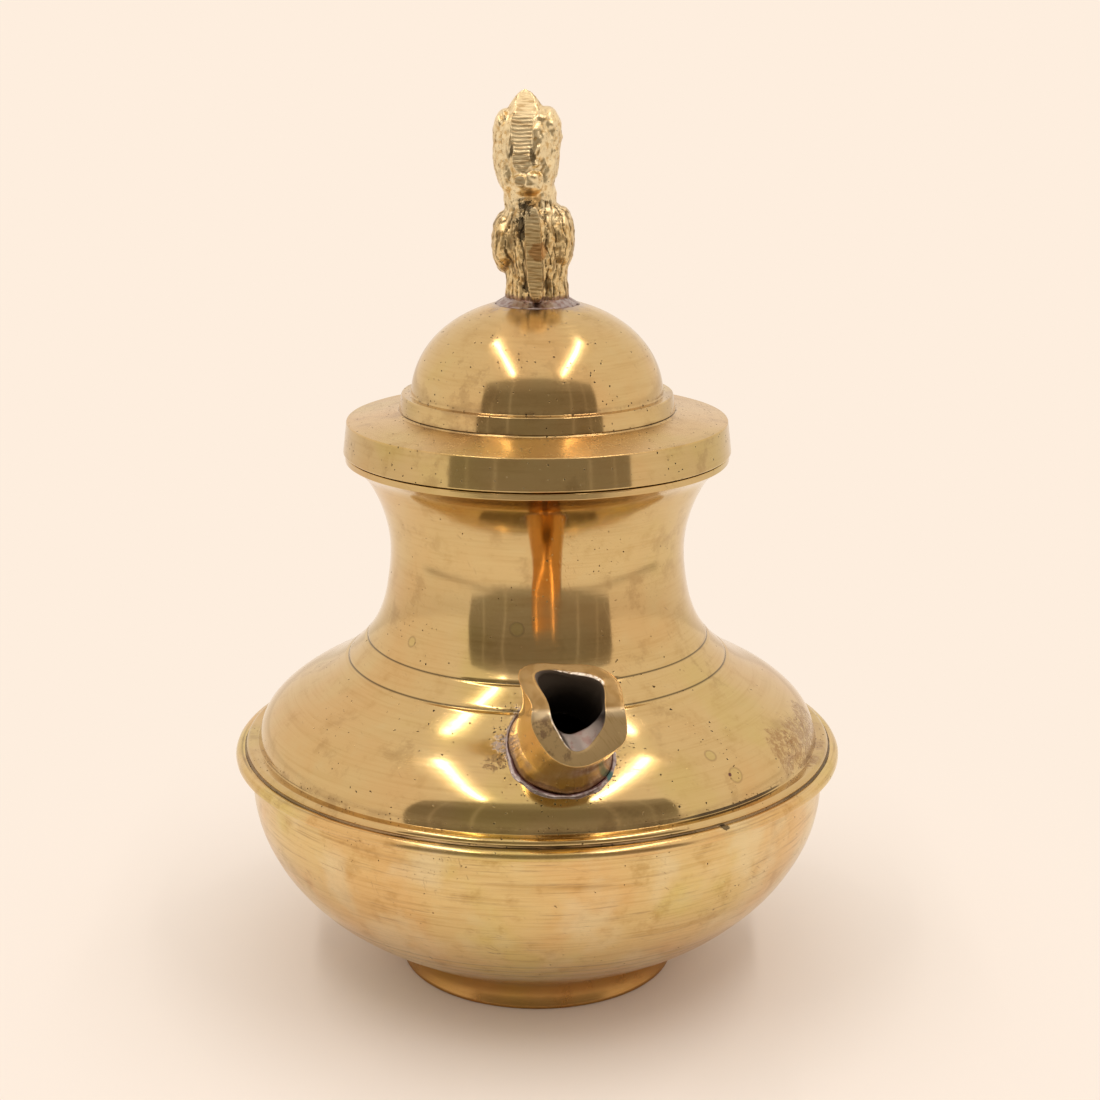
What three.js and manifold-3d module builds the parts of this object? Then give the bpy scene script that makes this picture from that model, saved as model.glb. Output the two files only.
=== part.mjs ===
// A brass ghee pot: a round-bellied vessel on a foot ring, with a short pouring spout
// and a lift-off domed lid that carries a cast bird as its handle.
// Millimetres. Each piece is drawn with y up and the spout towards +z, on the pot's own
// turning axis, and the whole assembly is then stood on +Z with the spout towards -Y.
// A rise is a height above the piece below it, so what stands higher follows it.

import * as THREE from 'three';
import { mergeVertices } from 'three/addons/utils/BufferGeometryUtils.js';
import Module from 'manifold-3d';

const wasm = await Module();
wasm.setup();

// Sizes shared by several pieces
const SIDES = 40;
const JOINT_GAP = 0.3;
const BODY_WALL = 1.6;
const LID_WALL = 1.4;

// Foot ring
const FOOT_RADIUS = 34.4;
const FOOT_WAIST = 0.9;
const FOOT_WAIST_SHARE = 0.55;
const FOOT_WIDTH = 2.8;
const FOOT_EDGE = 0.4;

// Bowl: a rounded belly with a flattened bottom, then a rim turned out as a flange
const BOWL_RADIUS = 70.95;
const BOWL_DEPTH = 47.85;
const BOWL_ROUNDNESS = 1.944;
const BOWL_FLATTENED = 1.95;
const BOWL_FLOOR_HEIGHT = 3.0;
const FLANGE_RISE = 9.9;
const FLANGE_REACH = 4.05;
const FLANGE_THICKNESS = 2.4;
const FLANGE_ROUNDING = 1.1;
const FLANGE_BEND = 1.6;

// Upper body: its own smaller flange, the shoulder, the waisted neck and the mouth lip
const UPPER_FLANGE_REACH = 3.1;
const UPPER_FLANGE_THICKNESS = 1.4;
const SHOULDER_STEP = 1.65;
const NECK_WAIST_RADIUS = 35.9;
const NECK_WAIST_RISE = 47.0;
const MOUTH_LIP_RADIUS = 46.4;
const MOUTH_RISE = 24.1;
const MOUTH_LIP_EDGE = 1.5;
const UPPER_LINE_RISE = 25.4;
const LOWER_LINE_RISE = 20.45;
const LINE_WIDTH = 0.7;
const LINE_DEPTH = 0.3;

// Spout
const SPOUT_RADIUS = 10.9;
const SPOUT_WALL = 3.1;
const SPOUT_ROOT_RISE = 15.5;
const SPOUT_LENGTH = 30.8;
const SPOUT_LIFT = THREE.MathUtils.degToRad(32.6);
const SPOUT_LIP_SLOPE_SHARE = 0.22;
const SPOUT_SHAPED_END = 16;
const SPOUT_MIDWAY_SHARE = 0.4;
const SPOUT_SIDES = 24;

// Lid
const BRIM_OVERHANG = 0.45;
const BRIM_SKIRT_HEIGHT = 7.65;
const BRIM_SKIRT_TAPER = 0.95;
const BRIM_EDGE_ROUNDING = 0.4;
const BRIM_RISE = 2.1;
const BRIM_LEDGE = 1.5;
const DOME_BAND_RADIUS = 33.3;
const DOME_BAND_TAPER = 0.7;
const DOME_BAND_HEIGHT = 4.0;
const DOME_STEP = 2.2;
const DOME_RISE = 23.8;
const DOME_ROUNDNESS = 2.08;
const COLLAR_DEPTH = 8.5;
const COLLAR_CLEARANCE = 0.45;

// Finial: height of the bird above the dome, and how far it is turned from the spout
const BIRD_HEIGHT = 48.4;
const BIRD_FOOT_RADIUS = 7.6;
const BIRD_FOOT_SIDES = 24;
const BIRD_TURN = THREE.MathUtils.degToRad(-9);

// Solder fillets: their legs, and how far each is drawn in towards its corner
const SOLDER_LEG = 1.5;
const FINIAL_SOLDER_LEG = 1.9;
const FINIAL_SOLDER_HEIGHT = 1.1;
const SEAM_SOLDER_LEG = 1.0;
const SPOUT_SOLDER_LEG = 1.7;
const SPOUT_SOLDER_HEIGHT = 1.0;
const FILLET_FULLNESS = 0.32;

const place = (radius, height) => new THREE.Vector2(radius, height);

// Smooth line through the given places.
function smoothLine(places, steps) {
  return new THREE.SplineCurve(places).getPoints(steps);
}

// Part of a superellipse: radius is width * sin(t)^(2/m) and height is depth * cos(t)^(2/m)
// from its centre, with t running between two angles from the pole.
function superellipse(width, depth, roundness, from, to, steps) {
  const points = [];
  for (let i = 0; i <= steps; i += 1) {
    const t = THREE.MathUtils.lerp(from, to, i / steps);
    const radius = width * Math.max(0, Math.sin(t)) ** (2 / roundness);
    const height = depth * Math.max(0, Math.cos(t)) ** (2 / roundness);
    points.push(place(radius, height));
  }
  return points;
}

// The same line moved sideways by a distance, to its left as it runs.
function besideLine(points, distance) {
  return points.map((point, i) => {
    const before = points[Math.max(0, i - 1)];
    const after = points[Math.min(points.length - 1, i + 1)];
    const along = after.clone().sub(before).normalize();
    return place(point.x - along.y * distance, point.y + along.x * distance);
  });
}

// Rounded corner: an arc of places about a centre, from one angle to another.
function arc(x, y, radius, from, to, steps) {
  const points = [];
  for (let i = 0; i <= steps; i += 1) {
    const t = THREE.MathUtils.degToRad(THREE.MathUtils.lerp(from, to, i / steps));
    points.push(place(x + radius * Math.cos(t), y + radius * Math.sin(t)));
  }
  return points;
}

// Radius of a line of places at a height, read between its points.
function radiusAt(points, height) {
  for (let i = 1; i < points.length; i += 1) {
    const [a, b] = [points[i - 1], points[i]];
    if ((a.y - height) * (b.y - height) <= 0 && a.y !== b.y) {
      return a.x + (b.x - a.x) * (height - a.y) / (b.y - a.y);
    }
  }
  throw new Error(`no radius at height ${height}`);
}

// Height of a line of places at a radius, read between its points.
function heightAt(points, radius) {
  return radiusAt(points.map((point) => place(point.y, point.x)), radius);
}

// A turned piece: the outline ends on the axis at both ends, or is closed on itself.
function turned(outline, sides = SIDES) {
  const points = outline.slice();
  const endsOnAxis = points[0].x === 0 && points[points.length - 1].x === 0;
  if (THREE.ShapeUtils.area(points) < 0) points.reverse();
  if (!endsOnAxis) points.push(points[0].clone());
  return new THREE.LatheGeometry(points, sides);
}

// A turned solder fillet in a corner, with a hollow face between the ends of its two legs.
function turnedFillet(corner, oneEnd, otherEnd) {
  const face = corner.clone();
  face.addScaledVector(oneEnd.clone().sub(corner), FILLET_FULLNESS);
  face.addScaledVector(otherEnd.clone().sub(corner), FILLET_FULLNESS);
  return turned([corner, oneEnd, face, otherEnd]);
}

function solidFrom(geometry) {
  const bare = geometry.clone();
  bare.deleteAttribute('normal');
  bare.deleteAttribute('uv');
  const merged = mergeVertices(bare, 1e-4);
  const kept = [];
  const index = merged.index.array;
  for (let i = 0; i < index.length; i += 3) {
    const [a, b, c] = [index[i], index[i + 1], index[i + 2]];
    if (a !== b && b !== c && c !== a) kept.push(a, b, c);
  }
  return new wasm.Manifold(new wasm.Mesh({
    numProp: 3,
    vertProperties: new Float32Array(merged.attributes.position.array),
    triVerts: new Uint32Array(kept),
  }));
}

function geometryFrom(solid) {
  const mesh = solid.getMesh();
  const geometry = new THREE.BufferGeometry();
  geometry.setAttribute('position', new THREE.BufferAttribute(mesh.vertProperties, 3));
  geometry.setIndex(new THREE.BufferAttribute(mesh.triVerts, 1));
  geometry.computeVertexNormals();
  return geometry;
}

// Bowl

const BELLY_STEPS = 10;
const bowlBottomAngle = Math.acos((1 - BOWL_FLATTENED / BOWL_DEPTH) ** (BOWL_ROUNDNESS / 2));
const bowlWidestHeight = BOWL_FLOOR_HEIGHT + BOWL_DEPTH - BOWL_FLATTENED;
const bowlBelly = superellipse(
  BOWL_RADIUS, -BOWL_DEPTH, BOWL_ROUNDNESS, bowlBottomAngle, Math.PI / 2, BELLY_STEPS,
).map((point) => place(point.x, point.y + bowlWidestHeight));
const flangeRadius = BOWL_RADIUS + FLANGE_REACH;
const flangeTop = bowlWidestHeight + FLANGE_RISE;
const flangeUnderside = flangeTop - FLANGE_THICKNESS;

function bowl() {
  const edge = flangeRadius - FLANGE_ROUNDING;
  const inside = besideLine(bowlBelly, BODY_WALL).reverse();
  return turned([
    place(0, BOWL_FLOOR_HEIGHT),
    ...bowlBelly,
    ...arc(BOWL_RADIUS + FLANGE_BEND, flangeUnderside - FLANGE_BEND, FLANGE_BEND, 180, 90, 3),
    ...arc(edge, flangeUnderside + FLANGE_ROUNDING, FLANGE_ROUNDING, -90, 0, 3),
    ...arc(edge, flangeTop - FLANGE_ROUNDING, FLANGE_ROUNDING, 0, 90, 3),
    place(BOWL_RADIUS - BODY_WALL, flangeTop),
    ...inside,
    place(0, BOWL_FLOOR_HEIGHT + BODY_WALL),
  ]);
}

// Foot ring

const bowlUnderside = besideLine(bowlBelly, -JOINT_GAP);
const footInside = FOOT_RADIUS - FOOT_WIDTH;

function footRing() {
  const waist = FOOT_RADIUS - FOOT_WAIST;
  const top = heightAt(bowlUnderside, waist);
  const wall = smoothLine([
    place(FOOT_RADIUS, FOOT_EDGE),
    place(waist, top * FOOT_WAIST_SHARE),
    place(waist, top),
  ], 5);
  return turned([
    place(footInside, 0),
    place(FOOT_RADIUS - FOOT_EDGE, 0),
    ...wall,
    place(footInside, heightAt(bowlUnderside, footInside)),
  ]);
}

function footSolder() {
  const outer = footInside - JOINT_GAP;
  const inner = outer - SOLDER_LEG;
  const top = heightAt(bowlUnderside, outer);
  return turnedFillet(
    place(outer, top),
    place(inner, heightAt(bowlUnderside, inner)),
    place(outer, top - SOLDER_LEG),
  );
}

// Upper body

const upperFlangeUnderside = flangeTop + JOINT_GAP;
const upperFlangeTop = upperFlangeUnderside + UPPER_FLANGE_THICKNESS;
const shoulderEdgeRadius = BOWL_RADIUS - SHOULDER_STEP;
const upperFlangeRadius = shoulderEdgeRadius + UPPER_FLANGE_REACH;
const neckWaistHeight = upperFlangeTop + NECK_WAIST_RISE;
const mouthHeight = neckWaistHeight + MOUTH_RISE;

// Outside of shoulder and throat: shares of the spread beyond the waist and of the rise.
const SHOULDER_SHARES = [
  [1, 0], [0.99, 0.038], [0.955, 0.105], [0.86, 0.187], [0.7, 0.268], [0.535, 0.332],
  [0.4, 0.395], [0.285, 0.463], [0.19, 0.536], [0.127, 0.6], [0.081, 0.668],
  [0.046, 0.745], [0.02, 0.84], [0, 1],
];
const THROAT_SHARES = [
  [0.02, 0.18], [0.09, 0.355], [0.2, 0.52], [0.375, 0.7], [0.64, 0.88], [1, 1],
];
const NECK_STEPS = 22;
const shoulderSpread = shoulderEdgeRadius - NECK_WAIST_RADIUS;
const lipSpread = MOUTH_LIP_RADIUS - NECK_WAIST_RADIUS;
const throatRise = MOUTH_RISE - MOUTH_LIP_EDGE;
const neckOutside = smoothLine([
  ...SHOULDER_SHARES.map(([spread, rise]) => place(
    NECK_WAIST_RADIUS + shoulderSpread * spread,
    upperFlangeTop + NECK_WAIST_RISE * rise,
  )),
  ...THROAT_SHARES.map(([spread, rise]) => place(
    NECK_WAIST_RADIUS + lipSpread * spread,
    neckWaistHeight + throatRise * rise,
  )),
], NECK_STEPS);
const neckInside = besideLine(neckOutside, BODY_WALL);

// An incised line: a narrow V cut into the outside at a height.
function incised(line, height) {
  const below = height - LINE_WIDTH / 2;
  const above = height + LINE_WIDTH / 2;
  return [
    ...line.filter((point) => point.y < below),
    place(radiusAt(line, below), below),
    place(radiusAt(line, height) - LINE_DEPTH, height - LINE_DEPTH),
    place(radiusAt(line, above), above),
    ...line.filter((point) => point.y > above),
  ];
}

const spoutBoreRadius = SPOUT_RADIUS - SPOUT_WALL;
const spoutRootHeight = upperFlangeTop + SPOUT_ROOT_RISE;
const spoutRootRadius = radiusAt(neckOutside, spoutRootHeight);

// Places a piece that is drawn along +z from the origin onto the spout's axis.
function onSpoutAxis(geometry) {
  geometry.rotateX(-SPOUT_LIFT);
  geometry.translate(0, spoutRootHeight, spoutRootRadius);
  return geometry;
}

// A bar along the spout's axis, from a place inside the pot to one outside it.
function spoutBar(radius, from, to) {
  const bar = new THREE.CylinderGeometry(radius, radius, to - from, SPOUT_SIDES);
  bar.rotateX(Math.PI / 2);
  bar.translate(0, 0, (from + to) / 2);
  return solidFrom(onSpoutAxis(bar));
}

function upperBody() {
  const rounding = UPPER_FLANGE_THICKNESS / 2;
  const edge = upperFlangeRadius - rounding;
  const lowerLined = incised(neckOutside, upperFlangeTop + LOWER_LINE_RISE);
  const outside = incised(lowerLined, upperFlangeTop + UPPER_LINE_RISE);
  const shell = turned([
    place(neckInside[0].x, upperFlangeUnderside),
    ...arc(edge, upperFlangeUnderside + rounding, rounding, -90, 90, 4),
    ...outside,
    place(MOUTH_LIP_RADIUS, mouthHeight),
    place(neckInside[neckInside.length - 1].x, mouthHeight),
    ...neckInside.slice(1).reverse(),
  ]);
  const hole = spoutBar(spoutBoreRadius, -SPOUT_RADIUS, SPOUT_RADIUS);
  return geometryFrom(solidFrom(shell).subtract(hole));
}

function girdleSolder() {
  const inner = upperFlangeRadius + JOINT_GAP;
  return turnedFillet(
    place(inner, upperFlangeUnderside),
    place(inner + SEAM_SOLDER_LEG, upperFlangeUnderside),
    place(inner, upperFlangeUnderside + SEAM_SOLDER_LEG),
  );
}

// The shoulder and neck as one filled body, grown outwards by a distance.
function filledShoulder(grown) {
  const line = besideLine(neckOutside, -grown);
  return solidFrom(turned([
    place(0, 0),
    place(line[0].x, 0),
    ...line.slice(1),
    place(0, line[line.length - 1].y),
  ]));
}

// Spout

// The hand-shaped mouth seen along the spout's axis: places round its outer edge and
// round its opening, as shares of the tube's radius, with x to the right and y up.
const MOUTH_EDGE = [
  [0.98, 0.08], [0.88, 0.66], [0.45, 0.95], [-0.2, 1.02], [-0.66, 1.04], [-0.99, 0.9],
  [-0.97, 0.52], [-0.82, 0.14], [-0.84, -0.12], [-0.73, -0.5], [-0.4, -0.92], [0.14, -1.05],
  [0.62, -0.83], [0.94, -0.6],
];
const MOUTH_OPENING = [
  [0.6, 0.12], [0.57, 0.58], [0.29, 0.73], [-0.16, 0.84], [-0.48, 0.9], [-0.69, 0.82],
  [-0.66, 0.6], [-0.5, 0.22], [-0.45, -0.1], [-0.35, -0.42], [-0.08, -0.7], [0.17, -0.71],
  [0.42, -0.55], [0.58, -0.26],
];

// Ring of places round the tube: round at the root, and hand-shaped at the mouth.
function tubeRing(radius, mouthShares, along, shaped) {
  const loop = new THREE.CatmullRomCurve3(
    mouthShares.map(([x, y]) => new THREE.Vector3(x * SPOUT_RADIUS, y * SPOUT_RADIUS, 0)),
    true,
  );
  const ring = [];
  for (let i = 0; i < SPOUT_SIDES; i += 1) {
    const mouth = loop.getPoint(i / SPOUT_SIDES);
    const turn = Math.atan2(mouth.y, mouth.x);
    const x = THREE.MathUtils.lerp(radius * Math.cos(turn), mouth.x, shaped);
    const y = THREE.MathUtils.lerp(radius * Math.sin(turn), mouth.y, shaped);
    const cutBack = shaped * Math.max(0, y) * SPOUT_LIP_SLOPE_SHARE;
    ring.push(new THREE.Vector3(x, y, along - cutBack));
  }
  return ring;
}

// Closed skin over rings of places, the last ring joined to the first.
function skinOver(rings) {
  const positions = rings.flat().flatMap((point) => point.toArray());
  const index = [];
  const count = rings[0].length;
  for (let i = 0; i < rings.length; i += 1) {
    const next = (i + 1) % rings.length;
    for (let j = 0; j < count; j += 1) {
      const beside = (j + 1) % count;
      const [a, b] = [i * count + j, i * count + beside];
      const [c, d] = [next * count + beside, next * count + j];
      index.push(a, b, c, a, c, d);
    }
  }
  const geometry = new THREE.BufferGeometry();
  geometry.setAttribute('position', new THREE.Float32BufferAttribute(positions, 3));
  geometry.setIndex(index);
  return geometry;
}

function spout() {
  const shapedFrom = SPOUT_LENGTH - SPOUT_SHAPED_END;
  const midway = (shapedFrom + SPOUT_LENGTH) / 2;
  const stations = [
    [-SPOUT_RADIUS, 0],
    [shapedFrom, 0],
    [midway, SPOUT_MIDWAY_SHARE],
    [SPOUT_LENGTH, 1],
  ];
  const outside = stations.map(([along, shaped]) => (
    tubeRing(SPOUT_RADIUS, MOUTH_EDGE, along, shaped)
  ));
  const inside = stations.map(([along, shaped]) => (
    tubeRing(spoutBoreRadius, MOUTH_OPENING, along, shaped)
  )).reverse();
  const tube = solidFrom(onSpoutAxis(skinOver([...outside, ...inside])));
  return geometryFrom(tube.subtract(filledShoulder(JOINT_GAP)));
}

function spoutSolder() {
  const inner = SPOUT_RADIUS + JOINT_GAP;
  const bar = spoutBar(inner + SPOUT_SOLDER_LEG, -SPOUT_RADIUS, SPOUT_LENGTH / 2);
  const hollow = spoutBar(inner, -SPOUT_LENGTH, SPOUT_LENGTH);
  const skin = filledShoulder(JOINT_GAP + SPOUT_SOLDER_HEIGHT);
  return geometryFrom(
    bar.subtract(hollow).intersect(skin).subtract(filledShoulder(JOINT_GAP)),
  );
}

// Lid

const DOME_STEPS = 9;
const skirtBottom = mouthHeight + JOINT_GAP;
const skirtRadius = MOUTH_LIP_RADIUS + BRIM_OVERHANG;
const brimEdgeTop = skirtBottom + BRIM_SKIRT_HEIGHT;
const brimEdgeRadius = skirtRadius - BRIM_SKIRT_TAPER;
const brimTop = brimEdgeTop + BRIM_RISE;
const bandTopRadius = DOME_BAND_RADIUS - DOME_BAND_TAPER;
const domeWallInside = bandTopRadius - LID_WALL;
const brimHole = domeWallInside - BRIM_LEDGE;
const domeBottom = brimTop + JOINT_GAP;
const domeSpring = domeBottom + DOME_BAND_HEIGHT;
const domeLine = superellipse(
  bandTopRadius - DOME_STEP, DOME_RISE, DOME_ROUNDNESS, Math.PI / 2, 0, DOME_STEPS,
).map((point) => place(point.x, point.y + domeSpring - LID_WALL));
const domeTop = domeLine[domeLine.length - 1].y;
const brimUnderside = [
  place(brimHole, brimTop - LID_WALL),
  place(DOME_BAND_RADIUS, brimTop - LID_WALL),
  place(brimEdgeRadius - LID_WALL * 2, brimEdgeTop - LID_WALL),
];

function lidBrim() {
  const rounding = BRIM_EDGE_ROUNDING;
  return turned([
    place(skirtRadius - LID_WALL, skirtBottom),
    place(skirtRadius - rounding, skirtBottom),
    place(skirtRadius, skirtBottom + rounding),
    place(brimEdgeRadius, brimEdgeTop - rounding),
    place(brimEdgeRadius - rounding, brimEdgeTop),
    place(DOME_BAND_RADIUS, brimTop),
    place(brimHole, brimTop),
    ...brimUnderside,
    place(brimEdgeRadius - LID_WALL, brimEdgeTop - LID_WALL * 2),
  ]);
}

function lidDome() {
  const inside = besideLine(domeLine, LID_WALL).reverse();
  return turned([
    place(domeWallInside, domeBottom),
    place(DOME_BAND_RADIUS, domeBottom),
    place(bandTopRadius, domeSpring - BRIM_EDGE_ROUNDING),
    place(bandTopRadius - BRIM_EDGE_ROUNDING, domeSpring),
    place(radiusAt(domeLine, domeSpring), domeSpring),
    ...domeLine.filter((point) => point.y > domeSpring && point.x > 0),
    place(0, domeTop),
    place(0, domeTop - LID_WALL),
    ...inside.filter((point) => point.x > LID_WALL && point.y > domeSpring - LID_WALL),
    place(domeWallInside, domeSpring - LID_WALL * 2),
  ]);
}

function domeSolder() {
  const outer = domeWallInside - JOINT_GAP;
  const leg = BRIM_LEDGE - JOINT_GAP * 2;
  return turnedFillet(
    place(outer, domeBottom),
    place(outer - leg, domeBottom),
    place(outer, domeBottom + leg),
  );
}

const collarBottom = mouthHeight - COLLAR_DEPTH;
const collarRadius = radiusAt(neckInside, collarBottom) - COLLAR_CLEARANCE;
const belowBrim = (radius) => heightAt(brimUnderside, radius) - JOINT_GAP;

function lidCollar() {
  const inner = collarRadius - LID_WALL;
  const chamfer = LID_WALL / 2;
  return turned([
    place(inner, collarBottom),
    place(collarRadius - chamfer, collarBottom),
    place(collarRadius, collarBottom + chamfer),
    place(collarRadius, belowBrim(collarRadius)),
    place(inner, belowBrim(inner)),
  ]);
}

function collarSolder() {
  const inner = collarRadius + JOINT_GAP;
  const outer = inner + SOLDER_LEG;
  const top = belowBrim(inner);
  return turnedFillet(
    place(inner, top),
    place(outer, belowBrim(outer)),
    place(inner, top - SOLDER_LEG),
  );
}

// Finial: a crested bird, built up from rounded masses, cast solid and cut to sit on the dome.
// Each mass gives its centre and its half sizes as shares of the bird's height, with x to the
// right, y up from the dome's top and z towards the front, and a tilt in degrees to the front.
const BIRD_MASSES = [
  { name: 'body', at: [-0.02, 0.27, 0.0], half: [0.165, 0.2, 0.18], tilt: 8 },
  { name: 'breast', at: [-0.005, 0.25, 0.09], half: [0.12, 0.2, 0.12], tilt: 0 },
  { name: 'breast ridge', at: [0.0, 0.24, 0.17], half: [0.04, 0.2, 0.05], tilt: 0 },
  { name: 'left wing', at: [-0.155, 0.275, -0.01], half: [0.068, 0.145, 0.16], tilt: -20 },
  { name: 'right wing', at: [0.112, 0.295, -0.01], half: [0.07, 0.15, 0.16], tilt: -20 },
  { name: 'tail', at: [-0.015, 0.2, -0.2], half: [0.09, 0.06, 0.17], tilt: 38 },
  { name: 'neck', at: [-0.04, 0.5, 0.01], half: [0.13, 0.15, 0.12], tilt: 0 },
  { name: 'head', at: [-0.063, 0.69, 0.02], half: [0.158, 0.22, 0.15], tilt: 10 },
  { name: 'beak', at: [-0.06, 0.59, 0.15], half: [0.055, 0.055, 0.07], tilt: 30 },
  { name: 'left crest', at: [-0.15, 0.8, -0.02], half: [0.065, 0.115, 0.1], tilt: 0 },
  { name: 'right crest', at: [0.045, 0.8, -0.02], half: [0.072, 0.125, 0.1], tilt: 0 },
  { name: 'top crest', at: [-0.06, 0.885, 0.0], half: [0.095, 0.115, 0.1], tilt: 0 },
];

// Outline of the bird's foot: shares of its radius and of the bird's height.
const BIRD_FOOT_SHARES = [[1, 0.01], [0.94, 0.12], [0.98, 0.2], [0, 0.26]];

function birdMass({ at, half, tilt }) {
  const mass = new THREE.SphereGeometry(1, 12, 8);
  mass.scale(...half.map((size) => size * BIRD_HEIGHT));
  mass.rotateX(THREE.MathUtils.degToRad(tilt));
  mass.translate(...at.map((distance) => distance * BIRD_HEIGHT));
  return solidFrom(mass);
}

// The dome as one filled body, grown outwards by a distance.
function filledDome(grown) {
  const line = besideLine(domeLine, -grown);
  line[line.length - 1].x = 0;
  return solidFrom(turned([
    place(0, line[0].y),
    ...line,
  ]));
}

function finial() {
  const root = -BIRD_FOOT_RADIUS / 2;
  const foot = turned([
    place(0, root),
    place(BIRD_FOOT_RADIUS, root),
    ...BIRD_FOOT_SHARES.map(([spread, rise]) => place(BIRD_FOOT_RADIUS * spread, BIRD_HEIGHT * rise)),
  ], BIRD_FOOT_SIDES);
  const bird = BIRD_MASSES.reduce((sum, mass) => sum.add(birdMass(mass)), solidFrom(foot));
  const geometry = geometryFrom(bird);
  geometry.rotateY(BIRD_TURN);
  geometry.translate(0, domeTop, 0);
  return geometryFrom(solidFrom(geometry).subtract(filledDome(JOINT_GAP)));
}

function finialSolder() {
  const inner = BIRD_FOOT_RADIUS + JOINT_GAP;
  const outer = inner + FINIAL_SOLDER_LEG;
  const above = besideLine(domeLine, -JOINT_GAP);
  const foot = heightAt(above, inner);
  return turnedFillet(
    place(inner, foot),
    place(outer, heightAt(above, outer)),
    place(inner, foot + FINIAL_SOLDER_HEIGHT),
  );
}

// Materials

const brass = (color, roughness) => (
  new THREE.MeshStandardMaterial({ color, roughness, metalness: 1 })
);
const solder = () => (
  new THREE.MeshStandardMaterial({ color: 0x8f8388, roughness: 0.45, metalness: 0.9 })
);

function piece(name, geometry, material) {
  const mesh = new THREE.Mesh(geometry, material);
  mesh.name = name;
  return mesh;
}

const pot = new THREE.Group();
pot.add(
  piece('foot_ring', footRing(), brass(0x9a7438, 0.35)),
  piece('foot_solder', footSolder(), solder()),
  piece('bowl', bowl(), brass(0xc39c55, 0.28)),
  piece('girdle_solder', girdleSolder(), solder()),
  piece('upper_body', upperBody(), brass(0xcda65c, 0.2)),
  piece('spout', spout(), brass(0xc2934a, 0.3)),
  piece('spout_solder', spoutSolder(), solder()),
);

const lid = new THREE.Group();
lid.add(
  piece('lid_brim', lidBrim(), brass(0xc9a25c, 0.24)),
  piece('lid_dome', lidDome(), brass(0xcba45a, 0.22)),
  piece('dome_solder', domeSolder(), solder()),
  piece('lid_collar', lidCollar(), brass(0xb08c4c, 0.35)),
  piece('collar_solder', collarSolder(), solder()),
  piece('finial', finial(), brass(0xb3903f, 0.32)),
  piece('finial_solder', finialSolder(), solder()),
);

// Stand the assembly up, with the middle of its footprint box over the origin.
const upright = new THREE.Group();
upright.add(pot, lid);
upright.rotation.x = Math.PI / 2;
upright.updateMatrixWorld(true);
const middle = new THREE.Box3().setFromObject(upright).getCenter(new THREE.Vector3());
upright.position.set(0, -middle.y, 0);

const gheePot = new THREE.Group();
gheePot.add(upright);

export default gheePot;
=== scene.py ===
"""A brass ghee pot, dressed around its fixed frame. Metres, +Z up, the spout towards -Y.

Turned pieces are outlines carried round the pot's axis. An outline is an array of
(radius, height) rows that runs up the outside and back down the inside.
"""
import math
from collections import namedtuple

import bpy
import numpy as np
from bpy.props import FloatProperty, FloatVectorProperty, PointerProperty
from mathutils import Matrix, Vector


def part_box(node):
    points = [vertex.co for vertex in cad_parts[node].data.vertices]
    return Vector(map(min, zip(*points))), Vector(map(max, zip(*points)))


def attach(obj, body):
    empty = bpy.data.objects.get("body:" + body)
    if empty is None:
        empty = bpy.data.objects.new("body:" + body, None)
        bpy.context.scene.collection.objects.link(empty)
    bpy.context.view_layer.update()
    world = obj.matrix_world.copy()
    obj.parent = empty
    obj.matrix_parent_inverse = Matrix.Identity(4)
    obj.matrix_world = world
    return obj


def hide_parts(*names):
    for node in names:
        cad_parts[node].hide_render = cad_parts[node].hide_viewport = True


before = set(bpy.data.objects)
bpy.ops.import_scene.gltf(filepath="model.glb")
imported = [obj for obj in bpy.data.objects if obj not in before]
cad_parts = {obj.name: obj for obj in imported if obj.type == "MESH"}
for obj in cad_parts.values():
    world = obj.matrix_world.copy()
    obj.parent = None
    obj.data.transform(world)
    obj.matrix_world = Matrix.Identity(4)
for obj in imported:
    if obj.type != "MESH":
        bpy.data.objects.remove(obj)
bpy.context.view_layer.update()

bl_info = {
    "name": "Ghee Pot",
    "version": (1, 0, 0),
    "blender": (4, 5, 0),
    "location": "3D View > Sidebar > Ghee Pot",
    "description": "Builds a brass ghee pot with a short spout and a lift-off lid with a bird",
    "category": "Add Mesh",
}

MM = 0.001
TINY = 1e-9

# Places that the frame gives
NODE_BOX = {name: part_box(name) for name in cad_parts}


def foot_of(node):
    return NODE_BOX[node][0].z


def top_of(node):
    return NODE_BOX[node][1].z


def reach_of(node):
    """Largest radius of a turned node."""
    return (NODE_BOX[node][1].x - NODE_BOX[node][0].x) / 2


AXIS_Y = (NODE_BOX["bowl"][0].y + NODE_BOX["bowl"][1].y) / 2


# Sizes and tints that a user would change

def number(name, description, value, **settings):
    return FloatProperty(name=name, description=description, default=value, **settings)


def length(name, description, millimetres):
    return number(name, description, millimetres * MM, precision=5, unit="LENGTH")


def turn(name, description, degrees):
    return number(name, description, math.radians(degrees), unit="ROTATION")


def share(name, description, value):
    return number(name, description, value, min=0.0, precision=3, subtype="FACTOR")


def tint(name, description, red, green, blue):
    return FloatVectorProperty(
        name=name, description=description, default=(red, green, blue), min=0.0, max=1.0,
        subtype="COLOR",
    )


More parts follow.
